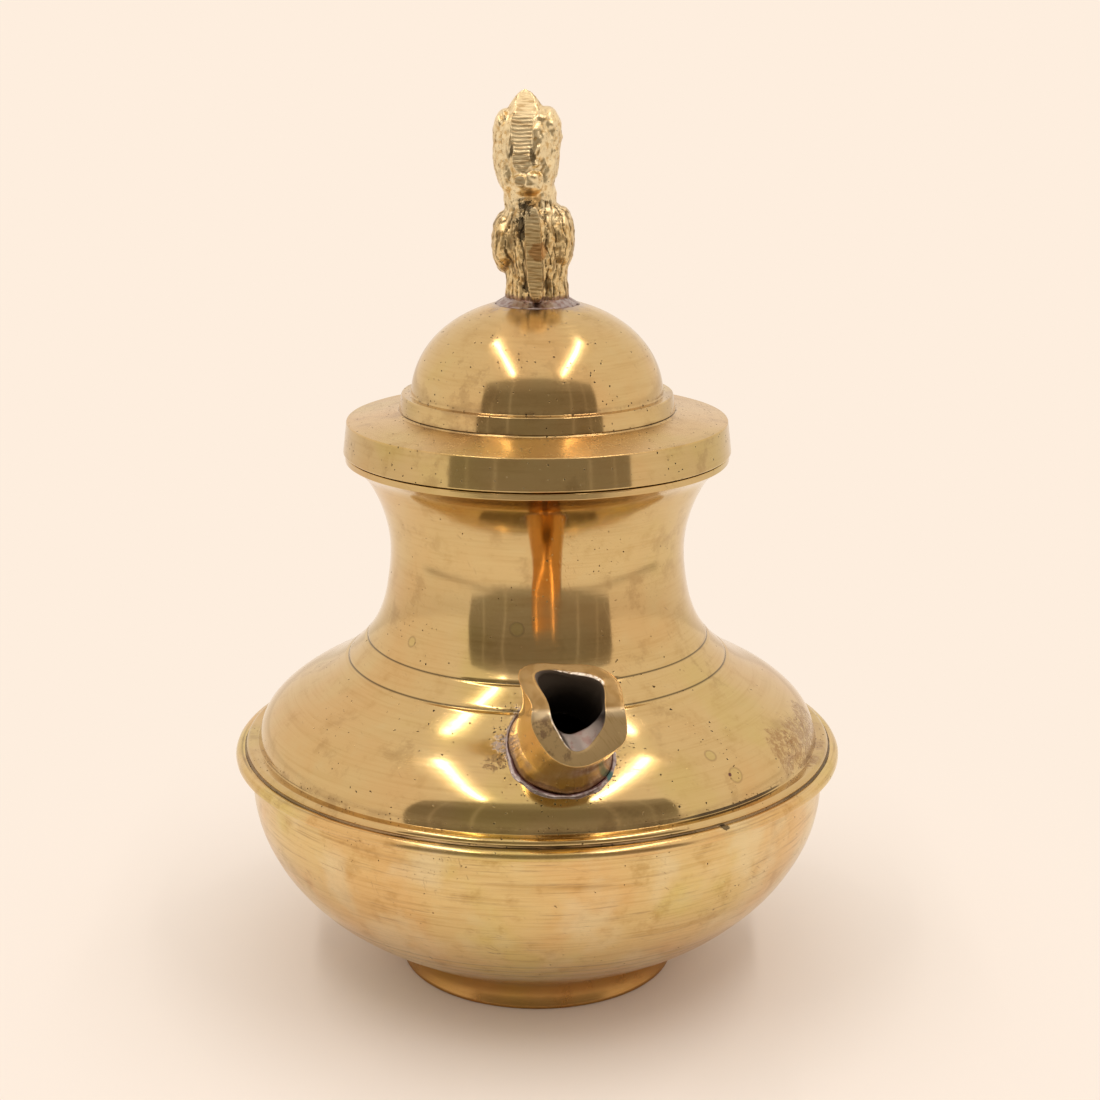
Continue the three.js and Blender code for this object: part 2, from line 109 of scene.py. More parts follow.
class BowlSizes(bpy.types.PropertyGroup):
    """Foot ring and bowl."""
    wall: length("Wall", "Thickness of the spun shells", 1.6)
    depth: length("Depth", "Depth of the belly below its widest ring", 47.85)
    roundness: share("Roundness", "Power of the belly's superellipse", 1.944)
    flattened: length("Flattened", "How much of the belly's pole is pressed flat", 1.95)
    flange_reach: length("Flange reach", "How far the flange stands out", 4.05)
    flange_thickness: length("Flange thickness", "Thickness of the flange", 2.4)
    flange_rounding: length("Flange rounding", "Rounding of the flange's upper edge", 1.7)
    flange_bend: length("Flange bend", "Radius of the bend under the flange", 1.6)
    foot_waist: length("Foot waist", "How far the foot ring draws in", 0.9)
    foot_waist_share: share("Foot waist share", "Share of its height where it draws in", 0.55)
    foot_width: length("Foot width", "Width of the ring that it stands on", 2.8)
    foot_edge: length("Foot edge", "Rounding of the foot's lower edge", 0.7)


class BodySizes(bpy.types.PropertyGroup):
    """Shoulder, neck and mouth."""
    wall: length("Wall", "Thickness of the spun shells", 1.6)
    flange_thickness: length("Flange thickness", "Thickness of the upper flange", 1.4)
    flange_reach: length("Flange reach", "How far the upper flange stands out", 3.1)
    waist_radius: length("Waist radius", "Radius of the neck's waist", 35.9)
    waist_rise: length("Waist rise", "Height of the waist above the flange", 47.0)
    lip_radius: length("Lip radius", "Radius of the mouth's lip", 46.4)
    lip_edge: length("Lip edge", "Height of the mouth lip's upright edge", 1.5)
    upper_line: length("Upper line", "Height of the upper incised line above the flange", 25.4)
    lower_line: length("Lower line", "Height of the lower incised line above the flange", 20.45)
    line_width: length("Line width", "Width of an incised line", 0.75)
    line_depth: length("Line depth", "Depth of an incised line", 0.32)


class SpoutSizes(bpy.types.PropertyGroup):
    """Spout tube and its hand-cut mouth."""
    radius: length("Radius", "Outer radius of the tube", 10.9)
    wall: length("Wall", "Thickness of the tube", 3.1)
    root_rise: length("Root rise", "Height of the tube's axis above the flange", 15.5)
    reach: length("Reach", "Length of the tube from the shoulder", 30.8)
    lift: turn("Lift", "How steeply the tube rises", 32.6)
    lip_slope: share("Lip slope", "How far the upper lip is cut back, by its height", 0.24)
    lower_slope: share("Lower slope", "How far the lower lip is cut back, by its depth", 0.12)
    fold: length("Fold", "Rounding of the fold between the two cuts", 0.5)
    chute: length("Chute", "Depth of the steep cut inside the lower lip", 2.4)
    shaped_end: length("Shaped end", "Length over which the tube becomes its mouth", 16.0)
    foot_spread: length("Foot spread", "How far the tube's foot is spread downwards", 2.0)
    shaping: share("Shaping", "Power that the shaping grows with", 1.32)


class LidSizes(bpy.types.PropertyGroup):
    """Brim, dome and collar."""
    wall: length("Wall", "Thickness of the lid", 1.4)
    skirt_height: length("Skirt height", "Height of the brim's skirt", 7.65)
    skirt_taper: length("Skirt taper", "How much narrower the skirt is at its top", 0.95)
    edge: length("Edge", "Rounding of the turned edges", 0.35)
    ledge: length("Ledge", "Width of the ledge that the dome is soldered on", 1.5)
    band_taper: length("Band taper", "How much narrower the dome's band is at its top", 0.7)
    band_height: length("Band height", "Height of the band at the dome's foot", 4.0)
    dome_step: length("Dome step", "Step between the band and the dome", 2.2)
    dome_roundness: share("Dome roundness", "Power of the dome's superellipse", 2.08)


class BirdSizes(bpy.types.PropertyGroup):
    """Cast bird on the lid."""
    foot_radius: length("Foot radius", "Radius of the bird's foot", 7.6)
    facing: turn("Facing", "How far the bird is turned from the spout", -9.0)
    grain: length("Grain", "Fineness of the cast surface", 0.27)
    groove_depth: length("Groove depth", "Depth of the chiselled feathers", 0.42)
    file_pitch: length("File pitch", "Distance between two file marks", 0.85)
    file_depth: length("File depth", "Depth of the file marks", 0.04)


class SolderSizes(bpy.types.PropertyGroup):
    """Solder fillets."""
    fullness: share("Fullness", "How far a fillet's face is drawn in to its corner", 0.32)
    seam_leg: length("Seam leg", "Leg of the solder in the girdle's groove", 1.0)
    inner_leg: length("Inner leg", "Leg of the fillets inside the pot and lid", 1.5)
    spout_leg: length("Spout leg", "Leg of the bead over the shoulder", 1.1)
    spout_height: length("Spout height", "Leg of the bead up the tube", 0.8)
    bird_leg: length("Bird leg", "Leg of the bird's solder over the dome", 2.9)
    bird_height: length("Bird height", "Leg of the bird's solder up its foot", 1.25)


class BrassTints(bpy.types.PropertyGroup):
    """Colours of the metals and of what has settled on them."""
    polished: tint("Polished", "Polished brass", 0.645, 0.478, 0.228)
    worn: tint("Worn", "Bowl brass, more worn", 0.72, 0.53, 0.245)
    # Painted shade: the foot's brass gets a darker brown for the shadowed floor under the bowl that the
    # foot ring reflects
    shade_darkened: tint("Darkened", "Foot brass, darkened to brown", 0.44, 0.245, 0.08)
    heated: tint("Heated", "Orange brass near the flame", 0.88, 0.585, 0.24)
    cast: tint("Cast", "Cast brass of the bird", 0.88, 0.745, 0.47)
    tarnish: tint("Tarnish", "Thin brown film on the brass", 0.33, 0.22, 0.11)
    oxide: tint("Oxide", "Dark oxide in pits and hollows", 0.035, 0.027, 0.018)
    stain: tint("Stain", "Purple-brown heat stain", 0.20, 0.10, 0.085)
    solder: tint("Solder", "Grey solder", 0.40, 0.35, 0.35)
    verdigris: tint("Verdigris", "Blue-green corrosion", 0.03, 0.15, 0.15)
    # A dark colour for the inside of the spout's bore
    dark_bore: tint("Soot", "Inside of the spout", 0.115, 0.085, 0.06)


class StudioSizes(bpy.types.PropertyGroup):
    """Camera, floor and light."""
    focal: number("Focal length", "Millimetres on a 36 mm sensor", 66.96)
    distance: length("Distance", "From the pot's axis to the camera, level", 485.0)
    height: length("Height", "Camera above the floor", 237.0)
    pitch: turn("Pitch", "How far the camera looks down", 15.07)
    azimuth: turn("Azimuth", "Camera's place round the pot from the spout's side", -5.6)
    shift: number("Shift", "Sideways shift of the picture", 0.0116)
    cream: tint("Cream", "Background", 0.9911, 0.8550, 0.7305)
    floor: tint("Floor", "Floor, so pale that lit it matches the background", 0.83, 0.73, 0.64)
    opening: tint("Opening", "The dark card behind the camera", 0.27, 0.22, 0.165)
    lamp: number("Lamp", "Radiance of the strip lights", 17.0)
    core: number("Core", "How bright the strips show in the metal", 10.0)
    glow: number("Glow", "How bright the glow round them shows", 1.15)


GROUPS = {
    "ghee_bowl": BowlSizes,
    "ghee_body": BodySizes,
    "ghee_spout": SpoutSizes,
    "ghee_lid": LidSizes,
    "ghee_bird": BirdSizes,
    "ghee_solder": SolderSizes,
    "ghee_tints": BrassTints,
    "ghee_studio": StudioSizes,
}


# Lines and outlines

def spline(places, count, closed=False):
    """Cubic spline through the places, even in slope and bend, read at count steps.

    Its second derivatives solve one linear system; distance along the places is the
    parameter, and a closed line also matches where it meets itself.
    """
    p = np.asarray(places, float)
    if closed:
        p = np.vstack([p, p[:1]])
    t = np.concatenate([[0.0], np.cumsum(np.linalg.norm(np.diff(p, axis=0), axis=1))])
    gap = np.diff(t)
    slope = np.diff(p, axis=0) / gap[:, None]
    last = len(p) - 1
    system, wanted = np.zeros((last + 1, last + 1)), np.zeros_like(p)
    i = np.arange(1, last)
    system[i, i - 1], system[i, i], system[i, i + 1] = gap[:-1], 2 * (gap[:-1] + gap[1:]), gap[1:]
    wanted[i] = 6 * (slope[1:] - slope[:-1])
    system[0, 0], system[last, last] = 1.0, 1.0
    if closed:
        system[0, [last - 1, 0, 1]] = gap[-1], 2 * (gap[-1] + gap[0]), gap[0]
        wanted[0] = 6 * (slope[0] - slope[-1])
        system[last, 0] = -1.0
    bend = np.linalg.solve(system, wanted)
    s = np.linspace(0, t[-1], count, endpoint=not closed)
    k = np.clip(np.searchsorted(t, s, side="right") - 1, 0, last - 1)
    u, step = (s - t[k])[:, None], gap[k][:, None]
    lean = slope[k] - step * (2 * bend[k] + bend[k + 1]) / 6
    return p[k] + u * lean + u**2 * bend[k] / 2 + u**3 * (bend[k + 1] - bend[k]) / (6 * step)


def superellipse(width, depth, roundness, start, end, count):
    """radius = width sin(t)^(2/m), height = depth cos(t)^(2/m), for angles t from the pole."""
    t = np.linspace(start, end, count)
    radius = width * np.clip(np.sin(t), 0, None) ** (2 / roundness)
    height = depth * np.clip(np.cos(t), 0, None) ** (2 / roundness)
    return np.stack([radius, height], 1)


def rounded(*corners, steps=6):
    """Straight runs between (radius, height, rounding) corners, each rounded by an arc.

    The arc touches both runs at rounding times the tangent of half the turn from the
    corner. A corner with no rounding stays one place.
    """
    c = np.array(corners, float)
    parts = [c[:1, :2]]
    for before, here, after in zip(c[:-2], c[1:-1], c[2:]):
        inward = (before[:2] - here[:2]) / np.linalg.norm(before[:2] - here[:2])
        onward = (after[:2] - here[:2]) / np.linalg.norm(after[:2] - here[:2])
        if here[2] == 0:
            parts.append(here[None, :2])
            continue
        half = math.acos(np.clip(-inward @ onward, -1, 1)) / 2
        reach = here[2] * math.tan(half)
        middle = (inward + onward) / np.linalg.norm(inward + onward)
        centre = here[:2] + middle * here[2] / math.cos(half)
        across = (inward - onward) / np.linalg.norm(inward - onward)
        t = np.linspace(half, -half, steps + 1)[:, None]
        arc = centre - middle * here[2] * np.cos(t) + across * here[2] * np.sin(t)
        spare = reach * 0.1
        ends = here[:2] + np.array([inward, onward]) * (reach + spare)
        parts.append(np.vstack([ends[:1], arc, ends[1:]]))
    parts.append(c[-1:, :2])
    return np.vstack(parts)


def beside(line, distance):
    """The line moved sideways by a distance, to its left as it runs."""
    along = np.gradient(line, axis=0)
    along /= np.linalg.norm(along, axis=1)[:, None]
    return line + np.stack([-along[:, 1], along[:, 0]], 1) * distance


def fine(outline, longest):
    """The outline with places added until no step is longer than the given one."""
    step = np.linalg.norm(np.diff(outline, axis=0), axis=1)
    parts = np.maximum(1, np.ceil(step / longest).astype(int))
    k = np.repeat(np.arange(len(parts)), parts)
    u = (np.arange(len(k)) - np.repeat(np.cumsum(parts) - parts, parts)) / parts[k]
    return np.vstack([outline[k] + (outline[k + 1] - outline[k]) * u[:, None], outline[-1:]])


def height_at(line, radius):
    """Height of a line at a radius, where the radius grows along it."""
    order = np.argsort(line[:, 0])
    return float(np.interp(radius, line[order, 0], line[order, 1]))


def radius_at(line, height):
    """Radius of a line at a height, where the height grows along it."""
    order = np.argsort(line[:, 1])
    return np.interp(height, line[order, 1], line[order, 0])


def waves(turn_angle, along, size, wave, seed, radius=50 * MM, count=26):
    """Unevenness of hand work: a sum of sine waves with whole numbers round the axis.

    Each wave has a random direction, phase and length near the one given at the given
    radius; the sum is scaled so that its usual height is size.
    """
    rng = np.random.default_rng(seed)
    rounds = rng.normal(0, 2 * math.pi * radius / wave / 1.6, count).round()
    rises = rng.normal(0, 2 * math.pi / wave / 1.6, count)
    phases = rng.uniform(0, 2 * math.pi, count)
    total = sum(
        np.sin(turn_angle * a + along * b + c) for a, b, c in zip(rounds, rises, phases)
    )
    return total * size / math.sqrt(count / 2)


def smooth_step(value, low, high):
    """0 below low, 1 above high, and a smooth rise between."""
    t = np.clip((value - low) / (high - low), 0, 1)
    return t * t * (3 - 2 * t)


def between(value, low, full, still, high):
    """0 below low and above high, 1 from full to still, and smooth between."""
    return smooth_step(value, low, full) * (1 - smooth_step(value, still, high))


def bell(*parts):
    """e to the minus sum of squares of offset over width: 1 where every offset is 0."""
    return np.exp(-sum((off / width) ** 2 for off, width in parts))


def all_round(count):
    """Angles evenly spaced round an axis."""
    return np.arange(count) * 2 * math.pi / count


def off_angle(angle, degrees):
    """How far angles lie from a direction, within half a turn to either side."""
    return np.angle(np.exp(1j * (angle - math.radians(degrees))))


# Meshes

def skin(name, grid, joined=False, **attributes):
    """Closed mesh over a grid of rows by columns, whose columns join round.

    Rows that shrink to one place become a pole. With joined, the last row meets the
    first. The faces are turned over if the enclosed volume comes out negative.
    """
    rows, columns = grid.shape[:2]
    is_pole = np.ptp(grid.reshape(rows, columns, 3), axis=1).max(1) < TINY
    number = np.arange(rows * columns).reshape(rows, columns)
    number = np.where(is_pole[:, None], number[:, :1], number)
    used, place = np.unique(number, return_inverse=True)
    place = place.reshape(rows, columns)
    points = grid.reshape(-1, 3)[used]
    lower = place if joined else place[:-1]
    upper = np.roll(place, -1, axis=0) if joined else place[1:]
    quads = np.stack([lower, np.roll(lower, -1, 1), np.roll(upper, -1, 1), upper], -1).reshape(-1, 4)
    below, above = quads[:, 0] == quads[:, 1], quads[:, 2] == quads[:, 3]
    quads, triangles = quads[~below & ~above], np.vstack([quads[below][:, 1:], quads[above][:, :3]])
    split = np.vstack([quads[:, :3], quads[:, [0, 2, 3]], triangles])
    a, b, c = (points[split[:, i]] for i in range(3))
    if np.einsum("ij,ij->", a, np.cross(b, c)) < 0:
        quads, triangles = quads[:, ::-1], triangles[:, ::-1]
    mesh = bpy.data.meshes.new(name)
    mesh.from_pydata(points.tolist(), [], quads.tolist() + triangles.tolist())
    for key, values in attributes.items():
        give(mesh, key, np.broadcast_to(values, (rows, columns)).reshape(-1)[used])
    mesh.shade_smooth()
    return mesh


def give(mesh, key, values):
    """Stores a value for each vertex, which a finish reads."""
    attribute = mesh.attributes.new(key, "FLOAT", "POINT")
    attribute.data.foreach_set("value", values.astype(np.float32))


def places_of(mesh):
    """The vertices as rows of x, y and z."""
    places = np.empty(len(mesh.vertices) * 3)
    mesh.vertices.foreach_get("co", places)
    return places.reshape(-1, 3)


def turned_mesh(name, outline, sides, change=None):
    """Closed mesh of an outline turned about the pot's axis, the spout's side first.

    An outline either starts and ends on the axis or is a ring, whose last place is then
    joined to its first. change(angle, height, radius) gives how far each place moves out
    along the outline's own normal, so dents and unevenness follow the surface.
    """
    is_ring = outline[0, 0] > TINY
    if is_ring and np.allclose(outline[0], outline[-1], rtol=0, atol=TINY):
        outline = outline[:-1]
    angle = all_round(sides)
    radius = np.repeat(outline[:, :1], sides, 1)
    height = np.repeat(outline[:, 1:], sides, 1)
    if change is not None:
        ends = (outline[-1:], outline[:1]) if is_ring else (outline[:1], outline[-1:])
        along = np.gradient(np.vstack([ends[0], outline, ends[1]]), axis=0)[1:-1]
        along /= np.maximum(np.linalg.norm(along, axis=1), 1e-12)[:, None]
        moved = change(angle[None, :], height, radius)
        radius = np.where(radius > TINY, radius + along[:, 1:] * moved, radius)
        height = height - along[:, :1] * np.where(radius > TINY, moved, 0)
    grid = np.stack([radius * np.sin(angle), AXIS_Y - radius * np.cos(angle), height], -1)
    return skin(name, grid, joined=is_ring)


def linked(name, data):
    """A new object in the scene."""
    made = bpy.data.objects.new(name, data)
    bpy.context.scene.collection.objects.link(made)
    return made


def put(name, mesh, body, slot, material, *nodes):
    """Adds a finished piece that rides on a body and stands for the named nodes."""
    piece = linked(name, mesh)
    mesh.materials.append(material)
    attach(piece, body)
    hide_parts(*nodes)
    return piece


def reshaped(mesh, name, *modifiers):
    """A new mesh: the given one after the modifiers, each a type and its settings."""
    carrier = linked(name, mesh)
    for kind, settings in modifiers:
        modifier = carrier.modifiers.new(kind.title(), kind)
        for key, value in settings.items():
            setattr(modifier, key, value)
    graph = bpy.context.evaluated_depsgraph_get()
    made = bpy.data.meshes.new_from_object(carrier.evaluated_get(graph), depsgraph=graph)
    made.name = name
    bpy.data.objects.remove(carrier)
    return made


# Materials

def math_node(operation):
    """An operator that adds one Math node."""
    return lambda wire, *others: wire.finish.maths(operation, wire, *others)


class Wire:
    """A shader value; the usual operators add Math nodes."""

    def __init__(self, finish, socket):
        self.finish, self.socket = finish, socket

    def __rsub__(self, other):
        return self.finish.maths("SUBTRACT", other, self)

    __add__ = __radd__ = math_node("ADD")
    __mul__ = __rmul__ = math_node("MULTIPLY")
    __sub__, __truediv__ = math_node("SUBTRACT"), math_node("DIVIDE")
    __pow__, __abs__ = math_node("POWER"), math_node("ABSOLUTE")


class Finish:
    """The node tree of a material or world, and the few calls that fill it."""

    def __init__(self, owner):
        owner.use_nodes = True
        self.owner, self.tree = owner, owner.node_tree
        self.tree.nodes.clear()

    def node(self, kind, settings=None, values=None, out=0):
        """Adds a node, sets its settings, then fills its sockets, and returns one output."""
        node = self.tree.nodes.new(kind)
        for key, value in (settings or {}).items():
            setattr(node, key, value)
        for key, value in (values or {}).items():
            if isinstance(value, Wire):
                self.tree.links.new(value.socket, node.inputs[key])
            else:
                node.inputs[key].default_value = value
        return Wire(self, node.outputs[out]) if node.outputs else node

    def maths(self, operation, *values, kind="ShaderNodeMath", out=0):
        return self.node(kind, {"operation": operation}, dict(enumerate(values)), out)

    def vector(self, operation, *values, out=0):
        return self.maths(operation, *values, kind="ShaderNodeVectorMath", out=out)

    def combine(self, x, y, z):
        return self.node("ShaderNodeCombineXYZ", None, {0: x, 1: y, 2: z})

    def parts(self, vector):
        split = self.node("ShaderNodeSeparateXYZ", None, {0: vector})
        return [Wire(self, socket) for socket in split.socket.node.outputs]

    def noise(self, at, size, detail=2.0, roughness=0.5, out=0):
        return self.node("ShaderNodeTexNoise", None, {
            "Vector": at, "Scale": 1 / size, "Detail": detail, "Roughness": roughness,
        }, out)

    def cells(self, at, size):
        """Distance from the nearest of scattered places, and a chance from 0 to 1 for each."""
        distance = self.node("ShaderNodeTexVoronoi", None, {"Vector": at, "Scale": 1 / size})
        return distance, self.parts(Wire(self, distance.socket.node.outputs["Color"]))[0]

    def ramp(self, value, low, high):
        """0 below low, 1 above high, and a smooth rise between; low may be the larger."""
        return self.node("ShaderNodeMapRange", {"interpolation_type": "SMOOTHSTEP"}, {
            "Value": value, "From Min": low, "From Max": high,
        })

    def within(self, value, low, full, still, high):
        """0 below low and above high, 1 from full to still, and smooth between."""
        return self.ramp(value, low, full) * self.ramp(value, high, still)

    def mix(self, factor, first, second, blend="MIX"):
        settings = {"data_type": "RGBA", "blend_type": blend}
        return self.node("ShaderNodeMix", settings, {0: factor, 6: first, 7: second}, out=2)

    def places(self):
        return self.node("ShaderNodeTexCoord", out="Object")

    def attribute(self, name):
        return self.node("ShaderNodeAttribute", {"attribute_name": name}, out="Fac")

    def shining(self, colour):
        return self.node("ShaderNodeEmission", None, {"Color": colour, "Strength": 1.0})

    def finished(self, surface, output="ShaderNodeOutputMaterial"):
        """Links the surface to the output and returns the material or world."""
        self.node(output, None, {"Surface": surface})
        return self.owner


def opaque(colour):
    return (*colour, 1.0)


class Metal(Finish):
    """Metal built up in layers: each mark changes colour, roughness and height together."""

    # Three directions of scratches: sizes along x, y and z, distance apart, all in
    # millimetres, and slant
    SCRATCHES = (((0.3, 0.3, 9), 11, 0.35), ((7, 0.4, 0.4), 12, -0.3), ((0.35, 5, 3), 9, 0.8))
    # Old pits and the film on seams
    BROWN = (0.12, 0.075, 0.035)

    def __init__(self, name, colour, roughness, brushed=0.0):
        super().__init__(bpy.data.materials.new(name + "_finish"))
        self.colour = opaque(colour)
        self.rough = roughness
        self.height = None
        self.metallic = 1.0
        self.brushed = brushed
        self.at = self.places()
        self.x, y, self.z = self.parts(self.at)
        y = y - AXIS_Y
        self.radius = self.maths("SQRT", self.x * self.x + y * y)
        self.cosine, self.sine = self.x / self.radius, y / self.radius

    def turned(self, width, stretch, detail=2.0):
        """Noise stretched into rings round the axis: width across them, stretch round them."""
        at = self.combine(self.radius / width, self.z / width, self.cosine * stretch)
        return self.node("ShaderNodeTexNoise", {"noise_dimensions": "4D"}, {
            "Vector": at, "W": self.sine * stretch, "Scale": 1.0, "Detail": detail,
        })

    def near(self, height, width):
        """1 at a height and 0 beyond a width from it."""
        return self.ramp(abs(self.z - height), width, 0.0)

    def raised(self, amount):
        self.height = amount if self.height is None else self.height + amount

    def tinted(self, mask, colour):
        self.colour = self.mix(mask, self.colour, opaque(colour))

    def marked(self, mask, colour, roughness, rise=0.0):
        """Lays a stain or pit over what is there."""
        self.tinted(mask, colour)
        self.rough = (1 - mask) * self.rough + mask * roughness
        if rise:
            self.raised(mask * rise)

    def shaded(self, amount, colour):
        """Multiplies the colour, by as much as the amount says."""
        self.colour = self.mix(amount, self.colour, opaque(colour), "MULTIPLY")

    def spots(self, size, low, high, detail=2.0, roughness=0.5):
        """Noise of the given size, 0 below low, 1 above high and smooth between."""
        return self.ramp(self.noise(self.at, size, detail, roughness), low, high)

    def patches(self, strength):
        """Large soft patches, some pinkish and some greenish, streaks round the axis and a
        fine mottle that is also less shiny."""
        patch = self.noise(self.at, 30 * MM, 3.0)
        streak, brushed = self.turned(2.6 * MM, 1.6, 3.0), self.turned(0.5 * MM, 3.5, 3.0)
        self.mottle = self.noise(self.at, 7 * MM, 6.0, 0.68)
        for value, low, high, amount, colour in (
            (patch, 0.5, 0.68, 1.0, (1.0, 0.91, 0.86)),
            (patch, 0.5, 0.34, 1.0, (0.95, 1.0, 0.84)),
            (streak, 0.52, 0.75, 0.7, (0.88, 0.84, 0.76)),
            (brushed, 0.48, 0.72, 0.45, (0.84, 0.79, 0.68)),
            (brushed, 0.46, 0.30, 0.4, (1.05, 1.08, 1.10)),
            (self.mottle, 0.50, 0.70, 0.75, (0.84, 0.79, 0.70)),
            (self.mottle, 0.47, 0.30, 0.6, (1.0, 1.05, 1.12)),
        ):
            self.shaded(self.ramp(value, low, high) * (amount * strength), colour)
        self.rough = self.rough + self.ramp(self.mottle, 0.45, 0.7) * 0.05

    def lathe_marks(self, depth):
        """Fine rings left by the turning tool, deeper in some places than in others."""
        depth = depth * (0.35 + self.spots(21 * MM, 0.4, 0.7))
        self.raised(self.turned(0.6 * MM, 1.2, 3.0) * depth)
        self.raised(self.turned(2.2 * MM, 2.4) * (depth * 3.0))

    def haze(self, size, low, amount, colour):
        """Thin film over some of the mottle, in soft places of the given size."""
        where = self.spots(size, low, low + 0.14)
        self.marked(self.ramp(self.mottle, 0.5, 0.62) * where * amount, colour, 0.2)

    def tilted(self, slant):
        """Places turned about the Y axis."""
        return self.node("ShaderNodeVectorRotate", {"rotation_type": "Y_AXIS"}, {
            "Vector": self.at, "Angle": slant,
        })

    def scratches(self, strength, colour):
        """Thin scratches along three slanting directions, each kept in a few places only."""
        for size, apart, slant in self.SCRATCHES:
            at = self.vector("DIVIDE", self.tilted(slant), tuple(part * MM for part in size))
            line = self.ramp(self.noise(at, 1.0), 0.68, 0.72)
            kept = self.spots(apart * MM, 0.5, 0.62, 1.0)
            self.marked(line * kept * strength, colour, 0.3, -0.008 * MM)

    def pits(self, size, chance, colour, depth=0.05 * MM, wide=0.2):
        """Small ragged pits at scattered places, of which the given chance is kept."""
        ragged = self.noise(self.at, size / 2, out="Color")
        at = self.vector("ADD", self.at, self.vector("MULTIPLY", ragged, (size * 0.7,) * 3))
        distance, kept = self.cells(at, size)
        mask = self.ramp(distance, wide * 1.3, wide * 0.7) * self.ramp(chance - kept, 0.0, 0.02)
        self.marked(mask, colour, 0.6, -depth)

    def scattered_pits(self):
        """A few single pits, and finer ones that stand in clusters."""
        self.pits(2.2 * MM, 0.07, self.BROWN, wide=0.10)
        clusters = self.spots(17 * MM, 0.52, 0.66, 3.0)
        self.pits(1.0 * MM, clusters * 0.30, self.BROWN, wide=0.15)

    def blot(self, place, size, ragged=0.5):
        """1 within a size of a place and 0 outside it, with a ragged edge."""
        distance = self.vector("DISTANCE", self.at, tuple(place), out="Value")
        grain = self.noise(self.at, size * 0.5, 5.0, 0.7) - 0.5
        return self.ramp(distance + grain * (size * 2 * ragged), size * 1.1, size * 0.9)

    def ring(self, place, size, width):
        """1 on a ring round a place."""
        distance = self.vector("DISTANCE", self.at, tuple(place), out="Value")
        return self.ramp(abs(distance - size), width, 0.0)

    def done(self):
        values = {
            "Base Color": self.colour, "Roughness": self.rough, "Metallic": self.metallic,
            "Anisotropic": self.brushed, "Anisotropic Rotation": 0.25,
        }
        if self.height is not None:
            bump = {"Height": self.height, "Distance": 1.0}
            values["Normal"] = self.node("ShaderNodeBump", None, bump)
        return self.finished(self.node("ShaderNodeBsdfPrincipled", None, values))


# Foot ring, bowl and their solder

def belly_line(sizes, count=150):
    """Outside of the bowl's belly, from the edge of its flat bottom to its widest ring."""
    radius = reach_of("bowl") - sizes.flange_reach
    start = math.acos((1 - sizes.flattened / sizes.depth) ** (sizes.roundness / 2))
    line = superellipse(radius, -sizes.depth, sizes.roundness, start, math.pi / 2, count)
    return line + [0, foot_of("bowl") + sizes.depth - sizes.flattened]


def bowl_outline(sizes):
    """Belly, the bend out under the flange, the flange's round edge and the inside."""
    belly = belly_line(sizes)
    widest, reach, top = belly[-1, 0], reach_of("bowl"), top_of("bowl")
    under = top - sizes.flange_thickness
    inside = beside(belly, sizes.wall)[::-1]
    flange = rounded(
        (widest, belly[-1, 1], 0),
        (widest, under, sizes.flange_bend),
        (reach, under, 0.4 * MM),
        (reach, top, sizes.flange_rounding),
        (widest - sizes.wall, top, 0.2 * MM),
        (widest - sizes.wall, inside[0, 1], 0),
    )
    floor = foot_of("bowl")
    return np.vstack([
        [[0, floor]], belly[:-1], flange, inside[1::2], [[0, floor + sizes.wall]],
    ])


# Radii of three fine turned rings, which lie below a height
BELLY_RINGS = (54.6 * MM, 57.2 * MM, 59.6 * MM)
RINGS_BELOW = 30 * MM


def bowl_change(angle, height, radius):
    """Slight hammered unevenness, and three fine turned rings above the foot."""
    rings = sum(bell((radius - ring, 0.5 * MM)) for ring in BELLY_RINGS)
    rings = np.where(height < RINGS_BELOW, rings, 0)
    return waves(angle, height, 0.03 * MM, 18 * MM, 3) - 0.04 * MM * rings


def foot_outline(sizes):
    """Ring with a drawn-in side, its top fitted to the belly above it."""
    belly = belly_line(sizes)
    reach = reach_of("foot_ring")
    waist, inside = reach - sizes.foot_waist, reach - sizes.foot_width
    top = height_at(belly, waist)
    side = spline([
        [reach, sizes.foot_edge], [waist, top * sizes.foot_waist_share], [waist, top],
    ], 14)
    base = rounded(
        (inside, 1 * MM, 0), (inside, 0, 0.3 * MM), (reach, 0, sizes.foot_edge),
        (reach, sizes.foot_edge * 2, 0), steps=8,
    )
    return np.vstack([base[:-1], side[1:], [[inside, height_at(belly, inside)]], base[:1]])


def hollow_face(corner, one_end, other_end, fullness, t):
    """Curve between two ends, for t from 0 to 1, drawn in towards the corner between them."""
    control = corner + (one_end + other_end - 2 * corner) * fullness
    return one_end * (1 - t) ** 2 + control * 2 * t * (1 - t) + other_end * t**2


# Upper body

SHOULDER_SHARES = np.array([
    [1, 0], [0.99, 0.038], [0.955, 0.105], [0.86, 0.187], [0.7, 0.268], [0.535, 0.332],
    [0.4, 0.395], [0.285, 0.463], [0.19, 0.536], [0.127, 0.6], [0.081, 0.668],
    [0.046, 0.745], [0.02, 0.84], [0, 1],
])
THROAT_SHARES = np.array([
    [0.02, 0.18], [0.09, 0.355], [0.2, 0.52], [0.375, 0.7], [0.64, 0.88], [1, 1],
])


def neck_line(sizes, count=230):
    """Outside of the shoulder, waist and throat: shares of each spread and rise."""
    edge = reach_of("upper_body") - sizes.flange_reach
    foot = foot_of("upper_body") + sizes.flange_thickness
    waist = foot + sizes.waist_rise
    throat = top_of("upper_body") - sizes.lip_edge - waist
    shoulder = SHOULDER_SHARES * [edge - sizes.waist_radius, sizes.waist_rise]
    flare = THROAT_SHARES * [sizes.lip_radius - sizes.waist_radius, throat]
    return spline(np.vstack([
        shoulder + [sizes.waist_radius, foot], flare + [sizes.waist_radius, waist],
    ]), count)


